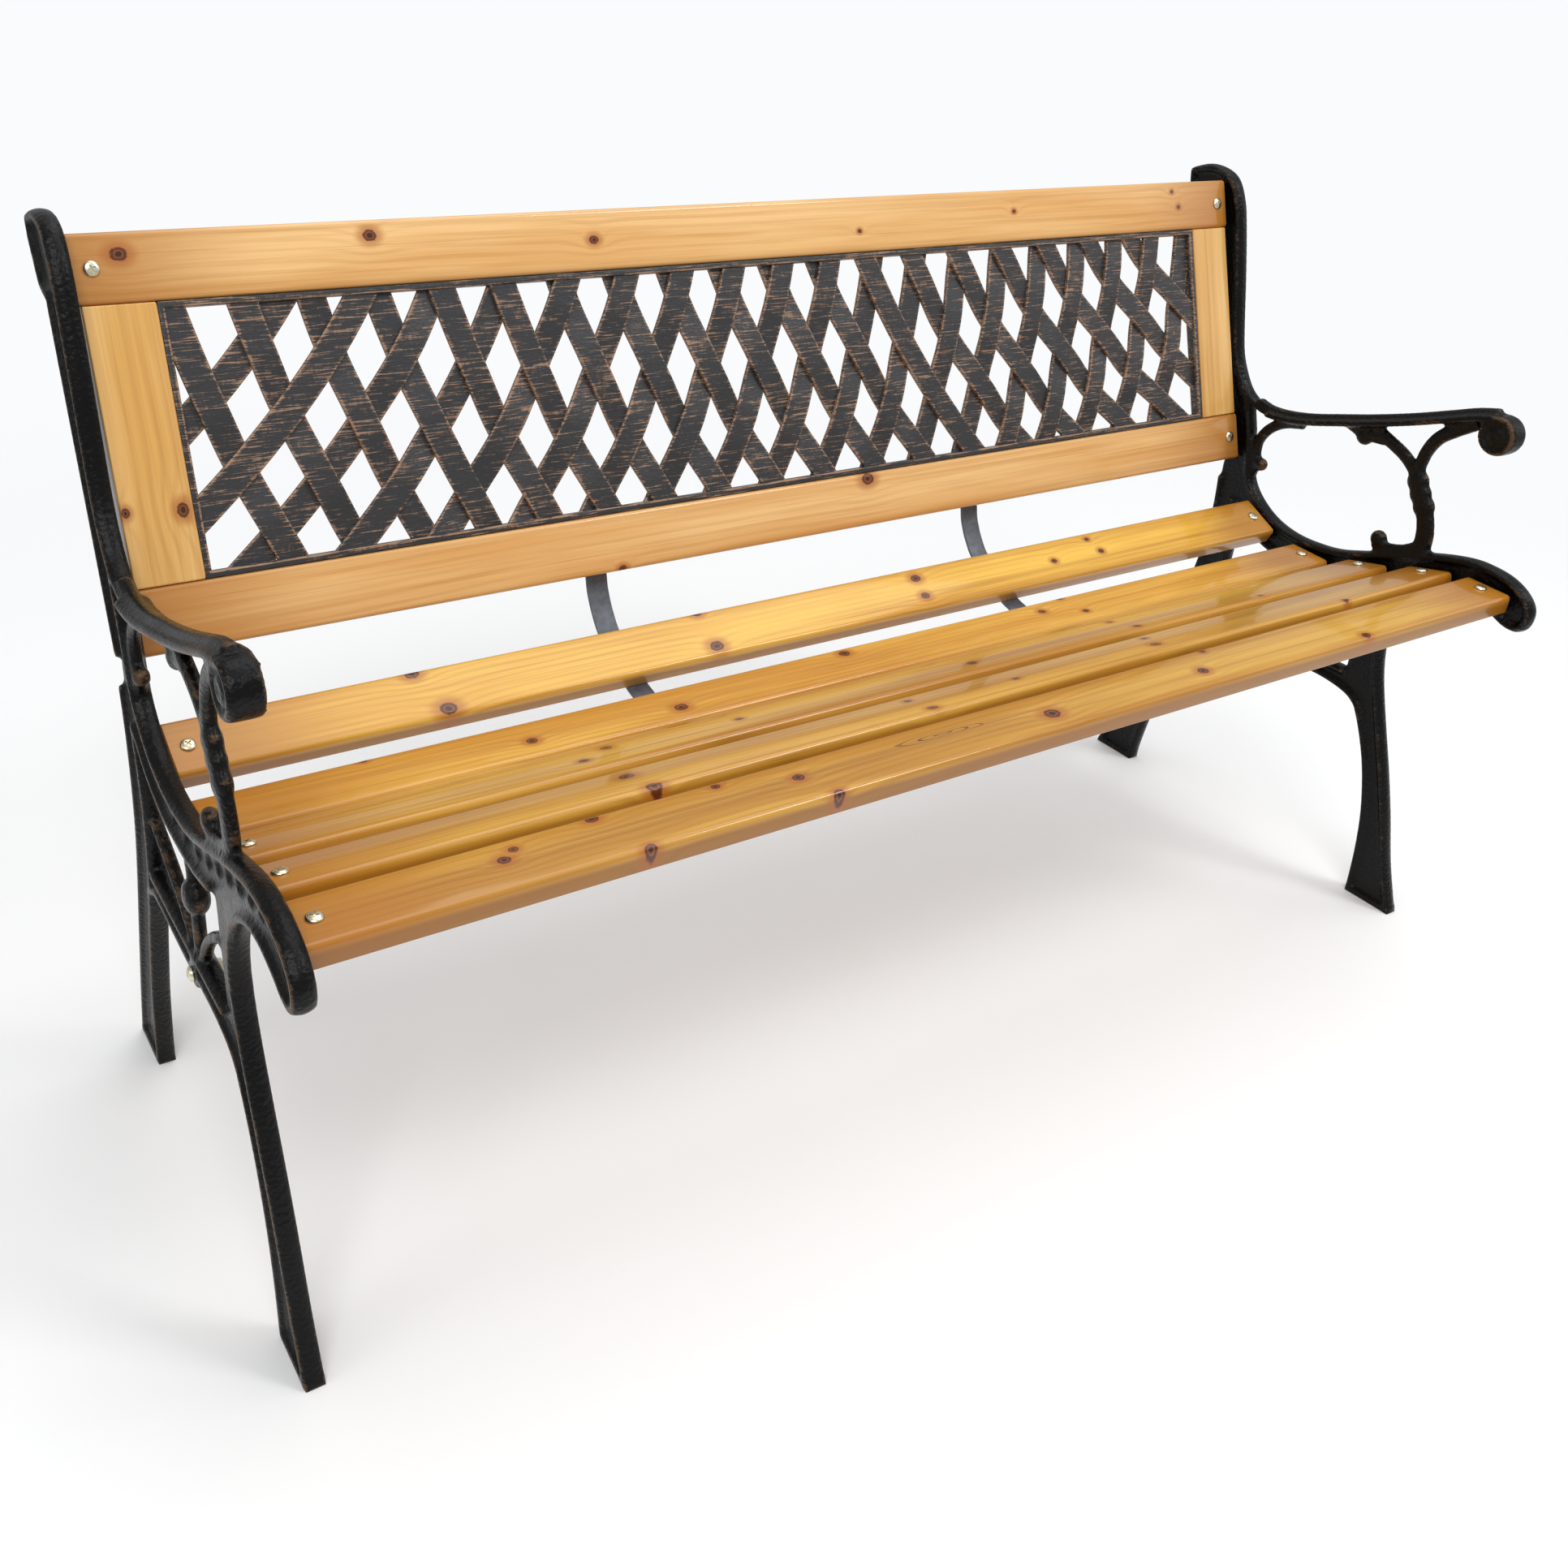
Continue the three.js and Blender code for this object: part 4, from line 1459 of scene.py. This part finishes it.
@dataclass
class LatticePanel:
    """The cast panel in the back: flat bars that pass over and under each other in a thin frame."""

    half: float = 539.7
    low: float = -0.7
    high: float = 201.7
    border: float = 5.0
    bars: int = 19
    first: float = -531.0
    pitch: float = 52.5
    width: float = 22.5
    thick: float = 4.2
    eased: float = 0.9
    middle: float = -6.6
    lift: float = 1.9
    pattern_top: float = 196.0
    pattern_height: float = 192.0
    step: float = 3.5
    inset: float = 2.0
    faces: Pair = (-12.0, -0.8)
    finish: LatticeFinish = LatticeFinish()

    def over(self, i: int, j: int) -> bool:
        """Whether one bar passes over another; both count from 1.

        Args:
            i: the bar that leans away.
            j: the bar that leans back.

        Returns:
            Whether the first is in front.
        """
        if i == 13 or j == 19:
            return True
        if j == 18:
            return False
        if j == 17:
            return i != 4
        if j == 16:
            return i >= 4
        return ((i + j) % 2 == 1) != (i >= 14)

    def across(self, index: int, lean: Lean, v: float) -> float:
        """Where a bar's middle line is at a height in the panel.

        Args:
            index: the bar, counted from 0.
            lean: which way it leans.
            v: the height in the panel.

        Returns:
            Its X.
        """
        widening = 0.75 * max(0, index - 11) ** 2
        top = self.first + self.pitch * index + widening
        reach = 50.0 + 45.6 * math.exp(top / 322.0)
        t = (self.pattern_top - v) / self.pattern_height
        return lean.value * (top + reach * (0.66 * t + 0.34 * t * t))

    def crossing(self, i: int, j: int) -> float:
        """Finds by halving where two bars cross, in the panel or outside it.

        Args:
            i: the bar that leans away, counted from 0.
            j: the bar that leans back, counted from 0.

        Returns:
            The height in the panel.
        """
        low, high = -400.0, 600.0
        for _ in range(40):
            v = (low + high) / 2
            apart = self.across(i, Lean.AWAY, v) - self.across(j, Lean.BACK, v)
            low, high = (v, high) if apart > 0 else (low, v)
        return (low + high) / 2

    def bar_line(self, index: int, lean: Lean) -> list[Point]:
        """The middle line of one bar, dipping and rising where it crosses the others.

        Args:
            index: the bar, counted from 0.
            lean: which way it leans.

        Returns:
            The line's points, in the panel's frame.
        """
        stops: list[Pair] = []
        for other in range(self.bars):
            i, j = (index, other) if lean is Lean.AWAY else (other, index)
            v = self.crossing(i, j)
            if self.low - 40 < v < self.high + 40:
                up = self.over(i + 1, j + 1) == (lean is Lean.AWAY)
                stops.append((v, self.middle + (self.lift if up else -self.lift)))
        stops.sort()
        line = []
        for v in np.arange(self.high + 6.0, self.low - 8.0, -self.step).tolist():
            line.append((self.across(index, lean, v), v, self.depth(v, stops)))
        return line

    def depth(self, v: float, stops: list[Pair]) -> float:
        """How far out a bar lies at a height, eased between its crossings.

        Args:
            v: the height in the panel.
            stops: the height and the depth of each crossing, from the lowest.

        Returns:
            The depth.
        """
        if not stops:
            return self.middle
        if v <= stops[0][0]:
            return stops[0][1]
        for (v0, w0), (v1, w1) in zip(stops, stops[1:]):
            if v <= v1:
                t = (v - v0) / max(v1 - v0, 1e-6)
                t = min(1.0, max(0.0, (t - 0.15) / 0.7))
                return w0 + (w1 - w0) * t * t * (3 - 2 * t)
        return stops[-1][1]

    def strip_tree(self) -> NodeGroup:
        """The tree that gives each line of an input mesh a flat section with eased edges.

        Returns:
            The tree. It stores `across`, which is -1 and 1 at the two edges of a bar.
        """
        group = NodeGroup("bars_along_lines", {
            "Width": "NodeSocketFloat", "Thickness": "NodeSocketFloat", "Edge": "NodeSocketFloat",
        })
        given = group.given.outputs
        lines = group.node("GeometryNodeMeshToCurve", Mesh=given["Geometry"])
        level = group.node("GeometryNodeSetCurveNormal", Curve=lines.outputs[0])
        level.mode = "Z_UP"
        section = group.node(
            "GeometryNodeCurvePrimitiveQuadrilateral", Width=given["Width"], Height=given["Thickness"],
        )
        eased = group.node("GeometryNodeFilletCurve", Curve=section.outputs[0], Radius=given["Edge"])
        eased.mode = "POLY"
        for socket in eased.inputs:
            if socket.name == "Count":
                socket.default_value = 2
        where = group.node("GeometryNodeInputPosition")
        parts = group.node("ShaderNodeSeparateXYZ", Vector=where.outputs[0])
        share = group.node("ShaderNodeMath")
        share.operation = "DIVIDE"
        group.tree.links.new(parts.outputs[0], share.inputs[0])
        halves = group.node("ShaderNodeMath")
        halves.operation = "MULTIPLY"
        halves.inputs[1].default_value = 0.5
        group.tree.links.new(given["Width"], halves.inputs[0])
        group.tree.links.new(halves.outputs[0], share.inputs[1])
        marked = group.node(
            "GeometryNodeStoreNamedAttribute", Geometry=eased.outputs[0], Name="across",
            Value=share.outputs[0],
        )
        bars = group.node(
            "GeometryNodeCurveToMesh", Curve=level.outputs[0], Profile_Curve=marked.outputs[0],
            Fill_Caps=True,
        )
        group.finish(bars.outputs[0])
        return group

    def bar_lines(self) -> bpy.types.Object:
        """The middle lines of all the bars, as loose edges.

        Returns:
            The lines, in metres in the panel's frame.
        """
        verts: list[Point] = []
        edges: list[tuple[int, int]] = []
        for index in range(self.bars):
            for lean in Lean:
                line = self.bar_line(index, lean)
                start = len(verts)
                verts += line
                edges += [(start + k, start + k + 1) for k in range(len(line) - 1)]
        mesh = bpy.data.meshes.new("bar_lines")
        mesh.from_pydata(verts, edges, [])
        mesh.transform(Matrix.Scale(MM, 4))
        return shown("bar_lines", mesh)

    def trim(self, bars: bpy.types.Mesh) -> None:
        """Cuts the bars off inside the frame and closes their ends.

        Args:
            bars: the bars' mesh, which is changed.
        """
        work = bmesh.new()
        work.from_mesh(bars)
        bmesh.ops.remove_doubles(work, verts=work.verts, dist=1e-6)
        for point, normal in (
            ((self.half - self.inset, 0, 0), (1, 0, 0)),
            ((self.inset - self.half, 0, 0), (-1, 0, 0)),
            ((0, self.high - self.inset, 0), (0, 1, 0)),
            ((0, self.low + self.inset, 0), (0, -1, 0)),
        ):
            cut = bmesh.ops.bisect_plane(
                work, geom=[*work.verts, *work.edges, *work.faces],
                plane_co=Vector(point) * MM, plane_no=normal, clear_outer=True,
            )
            rim = [e for e in cut["geom_cut"] if isinstance(e, bmesh.types.BMEdge) and e.is_boundary]
            bmesh.ops.holes_fill(work, edges=rim)
        bmesh.ops.recalc_face_normals(work, faces=work.faces)
        work.to_mesh(bars)
        work.free()

    def build(self) -> bpy.types.Object:
        """Makes the bars, trims them to the frame, and adds the frame.

        Returns:
            The panel, painted.
        """
        finish = self.finish.make("dry_brushed_lattice")
        lines = self.bar_lines()
        bars = self.strip_tree().run(
            lines, Width=self.width * MM, Thickness=self.thick * MM, Edge=self.eased * MM,
            Finish=finish,
        )
        bpy.data.objects.remove(lines)
        self.trim(bars)
        ring = self.frame_ring()
        ring.materials.append(finish)
        piece = self.merged([bars, ring])
        piece.data.transform(Matrix.Scale(MM, 4) @ RECLINE @ Matrix.Scale(1 / MM, 4))
        soften(piece.data, 20)
        return piece

    def frame_ring(self) -> bpy.types.Mesh:
        """The thin border, with eased edges.

        Returns:
            The mesh, in metres in the panel's frame.
        """
        back, front = self.faces
        section = arc_corners([
            (0, back, 0.6, 2), (self.border, back, 0.6, 2), (self.border, front, 1.2, 3),
            (0, front, 0.8, 3),
        ])
        corners = [(-1, -1), (1, -1), (1, 1), (-1, 1)]
        verts = []
        for sx, sy in corners:
            y = self.high if sy > 0 else self.low
            verts += [(sx * (self.half - d), y - sy * d, w) for d, w in section]
        shells = Shells()
        shells.put(verts, ring_faces(len(corners), len(section), closed=True))
        mesh = shells.mesh("frame_ring")
        inner_edge = [1.0 if 1.5 < d < 5.1 and w > -2.6 else 0.0 for d, w in section]
        edge = np.array(inner_edge * len(corners), np.float32)
        mesh.attributes.new("across", "FLOAT", "POINT").data.foreach_set("value", edge)
        return mesh

    def merged(self, meshes: Sequence[bpy.types.Mesh]) -> bpy.types.Object:
        """Puts meshes into one, keeping their finish and attributes.

        Args:
            meshes: the meshes; the first one's finish is used.

        Returns:
            The whole piece.
        """
        work = bmesh.new()
        for mesh in meshes:
            work.from_mesh(mesh)
        whole = bpy.data.meshes.new("woven_panel")
        work.to_mesh(whole)
        work.free()
        for finish in meshes[0].materials:
            whole.materials.append(finish)
        for face in whole.polygons:
            face.material_index = 0
        return shown("woven_panel", whole)

    def dress(self, piece: bpy.types.Object) -> None:
        """Hands the panel to the frame; its tree has already painted it."""
        enter(piece, Slot.LATTICE, ["lattice_panel"])


# ---- the steel ----------------------------------------------------------------------------------
@dataclass(frozen=True)
class Turned:
    """A turned fastener: radius and height up to its crown, and its cross recess, in mm."""

    profile: tuple[Pair, ...]
    sides: int
    crown: float
    recess: float
    slot: float


SEAT_BOLT = Turned((
    (3, -32), (3, 0.3), (5.6, 0.3), (5.75, 0.8), (5.5, 1.4), (4.7, 2.1), (3.4, 2.55), (1.6, 2.7),
    (0.2, 2.72),
), 32, 2.7, 3.1, 1.25)
STRAP_SCREW = Turned((
    (1.8, -14), (1.8, 0.3), (3.5, 0.3), (3.6, 0.7), (3.1, 1.5), (1.9, 1.95), (0.2, 2.0),
), 20, 2.0, 2.0, 0.9)
STRETCHER_BOLT = Turned((
    (3, -24), (3, 0.3), (5.8, 0.3), (6, 0.9), (5.8, 2.0), (4.9, 3.1), (3.3, 3.8), (1.5, 4.0),
    (0.2, 4.02),
), 32, 4.0, 3.2, 1.3)


@dataclass
class Fasteners:
    """Bolts, nuts and screws, each kind placed by one tree of instances."""

    bolt_x: float = 579.6
    strap_x: float = 212.0
    bolt_seat: float = 0.0
    nut_seat: float = -28.6
    screw_seat: float = -21.3
    stretcher: Pair = BOSS.centre
    head_x: float = 610.0
    inside_nut_x: float = 593.7
    nut_flats: float = 10.0
    nut_height: float = 5.0
    nut_bore: float = 3.3
    first_turn: float = 0.4
    next_turn: float = 1.7

    def turned(self, name: str, shape: Turned) -> bpy.types.Object:
        """A fastener turned about Z, with a cross recess cut into its head.

        Args:
            name: the template's name.
            shape: its profile and its recess.

        Returns:
            The template.
        """
        shells = Shells()
        shells.loft([circle(r, h, shape.sides) for r, h in shape.profile])
        template = shown(name, shells.mesh(name))
        cross = Shells()
        half, reach, floor = shape.slot / 2, shape.recess, 0.8
        outline = [
            (half, half), (half, reach), (-half, reach), (-half, half), (-reach, half),
            (-reach, -half), (-half, -half), (-half, -reach), (half, -reach), (half, -half),
            (reach, -half), (reach, half),
        ]
        cross.loft([
            [(x * floor, y * floor, shape.crown - 1.9) for x, y in outline],
            [(x, y, shape.crown + 1) for x, y in outline],
        ])
        cutter = shown("recess", cross.mesh("recess"))
        cut = template.modifiers.new("recess", "BOOLEAN")
        cut.operation, cut.object, cut.solver = "DIFFERENCE", cutter, "EXACT"
        template.data = baked(template)
        bpy.data.objects.remove(cutter)
        soften(template.data, 35)
        return template

    def placing_tree(self) -> NodeGroup:
        """The tree that puts a fastener on every point, turned by the point's `turn`.

        Returns:
            The tree.
        """
        group = NodeGroup("fasteners_on_points", {
            "Fastener": "NodeSocketObject", "Size": "NodeSocketFloat",
        })
        given = group.given.outputs
        info = group.node("GeometryNodeObjectInfo", Object=given["Fastener"])
        turn = group.node("GeometryNodeInputNamedAttribute")
        turn.data_type = "FLOAT_VECTOR"
        turn.inputs["Name"].default_value = "turn"
        put = group.node(
            "GeometryNodeInstanceOnPoints", Points=given["Geometry"], Instance=info.outputs["Geometry"],
            Rotation=turn.outputs[0], Scale=given["Size"],
        )
        group.finish(put.outputs[0])
        return group

    def placed(
        self, name: str, template: bpy.types.Object, places: Sequence[Matrix],
        finish: bpy.types.Material, nodes: Sequence[str],
    ) -> None:
        """Sets a template at every place, as one piece.

        Args:
            name: the piece's name.
            template: the fastener, along its own Z.
            places: where each one goes, in mm.
            finish: its material.
            nodes: the CAD nodes that the piece stands for.
        """
        mesh = bpy.data.meshes.new("points")
        mesh.from_pydata([tuple(m.translation * MM) for m in places], [], [])
        turns = np.array([tuple(m.to_euler()) for m in places], np.float32)
        mesh.attributes.new("turn", "FLOAT_VECTOR", "POINT").data.foreach_set("vector", turns.ravel())
        points = shown("points", mesh)
        made = self.placing_tree().run(points, Fastener=template, Size=1.0, Finish=finish)
        bpy.data.objects.remove(points)
        bpy.data.objects.remove(template)
        made.name = name
        enter(shown(name, made), Slot.ZINC, nodes)

    def seats(self, keys: Iterable[str], x: float, height: float, flip: bool = False) -> list[Matrix]:
        """Places on both ends of each seat.

        Args:
            keys: the seats.
            x: how far they are from the bench's middle.
            height: how far they are over the wood's front face.
            flip: whether they face down into the wood's back.

        Returns:
            The places, two for each seat, each turned a little differently.
        """
        turn = Matrix.Rotation(math.pi, 4, "X") if flip else Matrix.Identity(4)
        return [
            SEATS[key][0] @ Matrix.Translation((side.value * x, SEATS[key][1], height))
            @ Matrix.Rotation(self.first_turn + self.next_turn * n, 4, "Z") @ turn
            for n, key in enumerate(keys)
            for side in Side
        ]

    def names(self, stem: str, keys: Iterable[str]) -> list[str]:
        """The CAD nodes of one kind of fastener."""
        return [f"{stem}_{key}_{side.word}" for key in keys for side in Side]

    def make(self) -> None:
        """Builds and places every fastener."""
        zinc = ZINC.make("plated_fasteners")
        keys = list(SEATS)
        self.placed(
            "seat_bolts", self.turned("bolt", SEAT_BOLT),
            self.seats(keys, self.bolt_x, self.bolt_seat), zinc, self.names("bolt", keys),
        )
        self.placed(
            "lug_nuts", self.nut(), self.seats(keys, self.bolt_x, self.nut_seat), zinc,
            self.names("nut", keys),
        )
        strapped = keys[1:]
        self.placed(
            "strap_screws", self.turned("screw", STRAP_SCREW),
            self.seats(strapped, self.strap_x, self.screw_seat, True), zinc,
            self.names("strap_screw", strapped),
        )
        self.placed(
            "stretcher_bolts", self.turned("cross_bolt", STRETCHER_BOLT),
            [self.crossing(side, self.head_x, 1) for side in Side], zinc,
            self.names("stretcher", ["bolt"]),
        )
        self.placed(
            "stretcher_nuts", self.nut(),
            [self.crossing(side, self.inside_nut_x, -1) for side in Side], zinc,
            self.names("stretcher", ["nut"]),
        )

    def crossing(self, side: Side, x: float, facing: int) -> Matrix:
        """A place on a stretcher.

        Args:
            side: the end of the bench.
            x: how far it is from the bench's middle.
            facing: 1 to face out of the bench, -1 to face into it.

        Returns:
            The place.
        """
        turn = Matrix.Rotation(facing * side.value * math.pi / 2, 4, "Y")
        return Matrix.Translation((side.value * x, *self.stretcher)) @ turn

    def nut(self) -> bpy.types.Object:
        """A hexagon nut with chamfered corners and a threadless hole.

        Returns:
            The template.
        """
        sides, sixth = 24, math.pi / 3
        top, corner = self.nut_height, self.nut_flats / math.sqrt(3)
        lip, face, chamfer = 4.7, 5.2, 0.7
        levels = (
            (0, lip), (0, face), (chamfer, corner), (top - chamfer, corner), (top, face), (top, lip),
        )
        rings = []
        for height, most in levels:
            ring = []
            for k in range(sides):
                turn = FULL_TURN * k / sides
                flat = self.nut_flats / 2 / math.cos((turn + sixth / 2) % sixth - sixth / 2)
                radius = min(flat, most)
                ring.append((radius * math.cos(turn), radius * math.sin(turn), height))
            rings.append(ring)
        rings += [circle(self.nut_bore, top, sides), circle(self.nut_bore, 0, sides)]
        shells = Shells()
        shells.put([p for ring in rings for p in ring], ring_faces(len(rings), sides, closed=True))
        mesh = shells.mesh("nut")
        soften(mesh, 35)
        return shown("nut", mesh)


@dataclass
class Straps:
    """Two bent steel straps under the seat."""

    x: float = 212.0
    width: float = 20.0
    thick: float = 3.0
    under: float = -18.3
    bend: tuple[Pair, ...] = ((129, 409), (122, 395), (112, 381.5))
    bend_reach: float = 4.0
    eased: float = 0.7

    def point(self, place: Matrix, v: float) -> Pair:
        """A point on the wood's back face, in Y and Z."""
        p = place @ Vector((0, v, self.under))
        return (p.y, p.z)

    def line(self) -> list[Pair]:
        """The strap's upper face in the side view, from behind the low rail to the front slat.

        Returns:
            Its corners, in Y and Z.
        """
        corners = [self.point(RECLINE, -10), self.point(RECLINE, -53), *self.bend]
        for name, place in SLATS.items():
            last = -14 if name == "seat_slat_e_front" else -25
            corners += [self.point(place, 25), self.point(place, last)]
        return corners

    def build(self) -> bpy.types.Object:
        """Sweeps both straps, with eased edges and rounded bends.

        Returns:
            The straps, not yet painted.
        """
        corners = self.line()
        path: list[Pair] = [corners[0]]
        for before, here, after in zip(corners, corners[1:], corners[2:]):
            reach = min(self.bend_reach, math.dist(before, here) / 3, math.dist(here, after) / 3)
            a = Vector(here) + (Vector(before) - Vector(here)).normalized() * reach
            b = Vector(here) + (Vector(after) - Vector(here)).normalized() * reach
            path += [tuple(a), tuple((a + b + 2 * Vector(here)) / 4), tuple(b)]
        path.append(corners[-1])
        half, thick = self.width / 2, self.thick
        section = arc_corners([
            (x, n, self.eased, 2) for x, n in ((-half, 0), (half, 0), (half, thick), (-half, thick))
        ])
        shells = Shells()
        for side in Side:
            shells.loft([
                [(side.value * self.x + x, y - along.y * n, z + along.x * n) for x, n in section]
                for y, z, along in headings(path)
            ])
        mesh = shells.mesh("seat_straps")
        soften(mesh, 35)
        return shown("seat_straps", mesh)

    def dress(self, piece: bpy.types.Object) -> None:
        """Blues the straps and hands them to the frame.

        Args:
            piece: both straps.
        """
        piece.data.materials.append(STEEL.make("blued_strap"))
        enter(piece, Slot.STEEL, [f"seat_strap_{side.word}" for side in Side])


# ---- the studio ---------------------------------------------------------------------------------
@dataclass
class Studio:
    """A pale floor, soft light and the camera; places in metres, angles in degrees."""

    eye: Point = (-0.80203, -0.9756, 0.94432)
    azimuth: float = 35.116
    dip: float = 25.733
    roll: float = 3.860
    lens: float = 35.577
    shift: Pair = (0.0101, -0.0751)
    sensor: float = 36.0
    ambient: float = 0.50
    backdrop: float = 0.98
    floor_reach: float = 4.5
    floor_fade: Pair = (0.7, 2.3)

    def make(self) -> None:
        """Makes the floor, the lights and the camera."""
        self.floor()
        self.world()
        self.light("key", (-1.6, -2.4, 3.2), (0.0, 0.0, 0.4), 2.0, 58.0)
        self.light("edges", (1.7, -1.8, 3.0), (0.0, 0.0, 0.4), 0.9, 31.0)
        self.light("top", (0.6, 0.5, 3.4), (0.0, 0.0, 0.4), 2.6, 40.0)
        self.light("side", (3.2, -1.2, 1.6), (0.2, 0.0, 0.4), 1.6, 8.0)
        self.light("left", (-3.0, -0.2, 1.3), (-0.5, 0.0, 0.3), 1.2, 7.0)
        self.camera()

    def floor(self) -> None:
        """A plain pale floor that fades into the surround away from the bench."""
        mesh = bpy.data.meshes.new("floor")
        reach = self.floor_reach
        verts = [(-reach, -reach, 0), (reach, -reach, 0), (reach, reach, 0), (-reach, reach, 0)]
        mesh.from_pydata(verts, [], [(0, 1, 2, 3)])
        floor = shown("floor", mesh)
        s = Shader("pale_floor")
        s.set(Base_Color=(0.98, 0.98, 0.98, 1.0), Roughness=0.9, Specular_IOR_Level=0.1)
        away = s.distance(s.place(), (0.0, 0.0, 0.0))
        s.set(Alpha=s.span(away, *self.floor_fade, 1.0, 0.0))
        mesh.materials.append(s.material)
        floor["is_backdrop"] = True

    def world(self) -> None:
        """A white surround that lights the bench more softly than it shows."""
        world = bpy.data.worlds.new("surround")
        world.use_nodes = True
        nodes, links = world.node_tree.nodes, world.node_tree.links
        shine = nodes["Background"]
        shine.inputs["Color"].default_value = (0.97, 0.985, 1.0, 1.0)
        path = nodes.new("ShaderNodeLightPath")
        strength = nodes.new("ShaderNodeMapRange")
        links.new(path.outputs["Is Camera Ray"], strength.inputs["Value"])
        strength.inputs["To Min"].default_value = self.ambient
        strength.inputs["To Max"].default_value = self.backdrop
        links.new(strength.outputs[0], shine.inputs["Strength"])
        bpy.context.scene.world = world
        bpy.context.scene.view_settings.view_transform = "Standard"
        bpy.context.scene.view_settings.look = "None"

    def light(self, name: str, place: Point, aim: Point, size: float, power: float) -> None:
        """A soft square light aimed at a point.

        Args:
            name: the light's name.
            place: where it stands.
            aim: what it points at.
            size: the length of its side.
            power: its power, in watts.
        """
        data = bpy.data.lights.new(name, "AREA")
        data.shape, data.size, data.energy = "SQUARE", size, power
        lamp = bpy.data.objects.new(name, data)
        lamp.location = place
        lamp.rotation_euler = (Vector(aim) - Vector(place)).to_track_quat("-Z", "Y").to_euler()
        bpy.context.scene.collection.objects.link(lamp)

    def camera(self) -> None:
        """A camera at the front right corner, looking down along the bench."""
        az, dip, roll = (math.radians(a) for a in (self.azimuth, self.dip, self.roll))
        ahead = Vector((math.sin(az) * math.cos(dip), math.cos(az) * math.cos(dip), -math.sin(dip)))
        level = Vector((math.cos(az), -math.sin(az), 0))
        up = level.cross(ahead)
        right = level * math.cos(roll) + up * math.sin(roll)
        top = up * math.cos(roll) - level * math.sin(roll)
        turn = Matrix((right, top, -ahead)).transposed()
        data = bpy.data.cameras.new("camera")
        data.sensor_width, data.lens = self.sensor, self.lens
        data.shift_x, data.shift_y = self.shift
        data.clip_start, data.clip_end = 0.05, 60.0
        camera = bpy.data.objects.new("camera", data)
        camera.matrix_world = Matrix.Translation(self.eye) @ turn.to_4x4()
        bpy.context.scene.collection.objects.link(camera)
        bpy.context.scene.camera = camera


def corners() -> list[list[float]]:
    """The shown object's lowest and highest corner, as plain numbers."""
    return [[round(float(c), 5) for c in corner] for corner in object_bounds()]


def main() -> None:
    """Builds the bench, piece by piece, and the studio round it."""
    logging.basicConfig(level=logging.INFO, format="%(name)s: %(message)s")
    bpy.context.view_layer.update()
    Studio().make()
    Woodwork().make()
    for side in Side:
        casting = EndCasting(side)
        casting.dress(casting.build())
    panel = LatticePanel()
    panel.dress(panel.build())
    straps = Straps()
    straps.dress(straps.build())
    Fasteners().make()


if __name__ == "__main__":
    main()
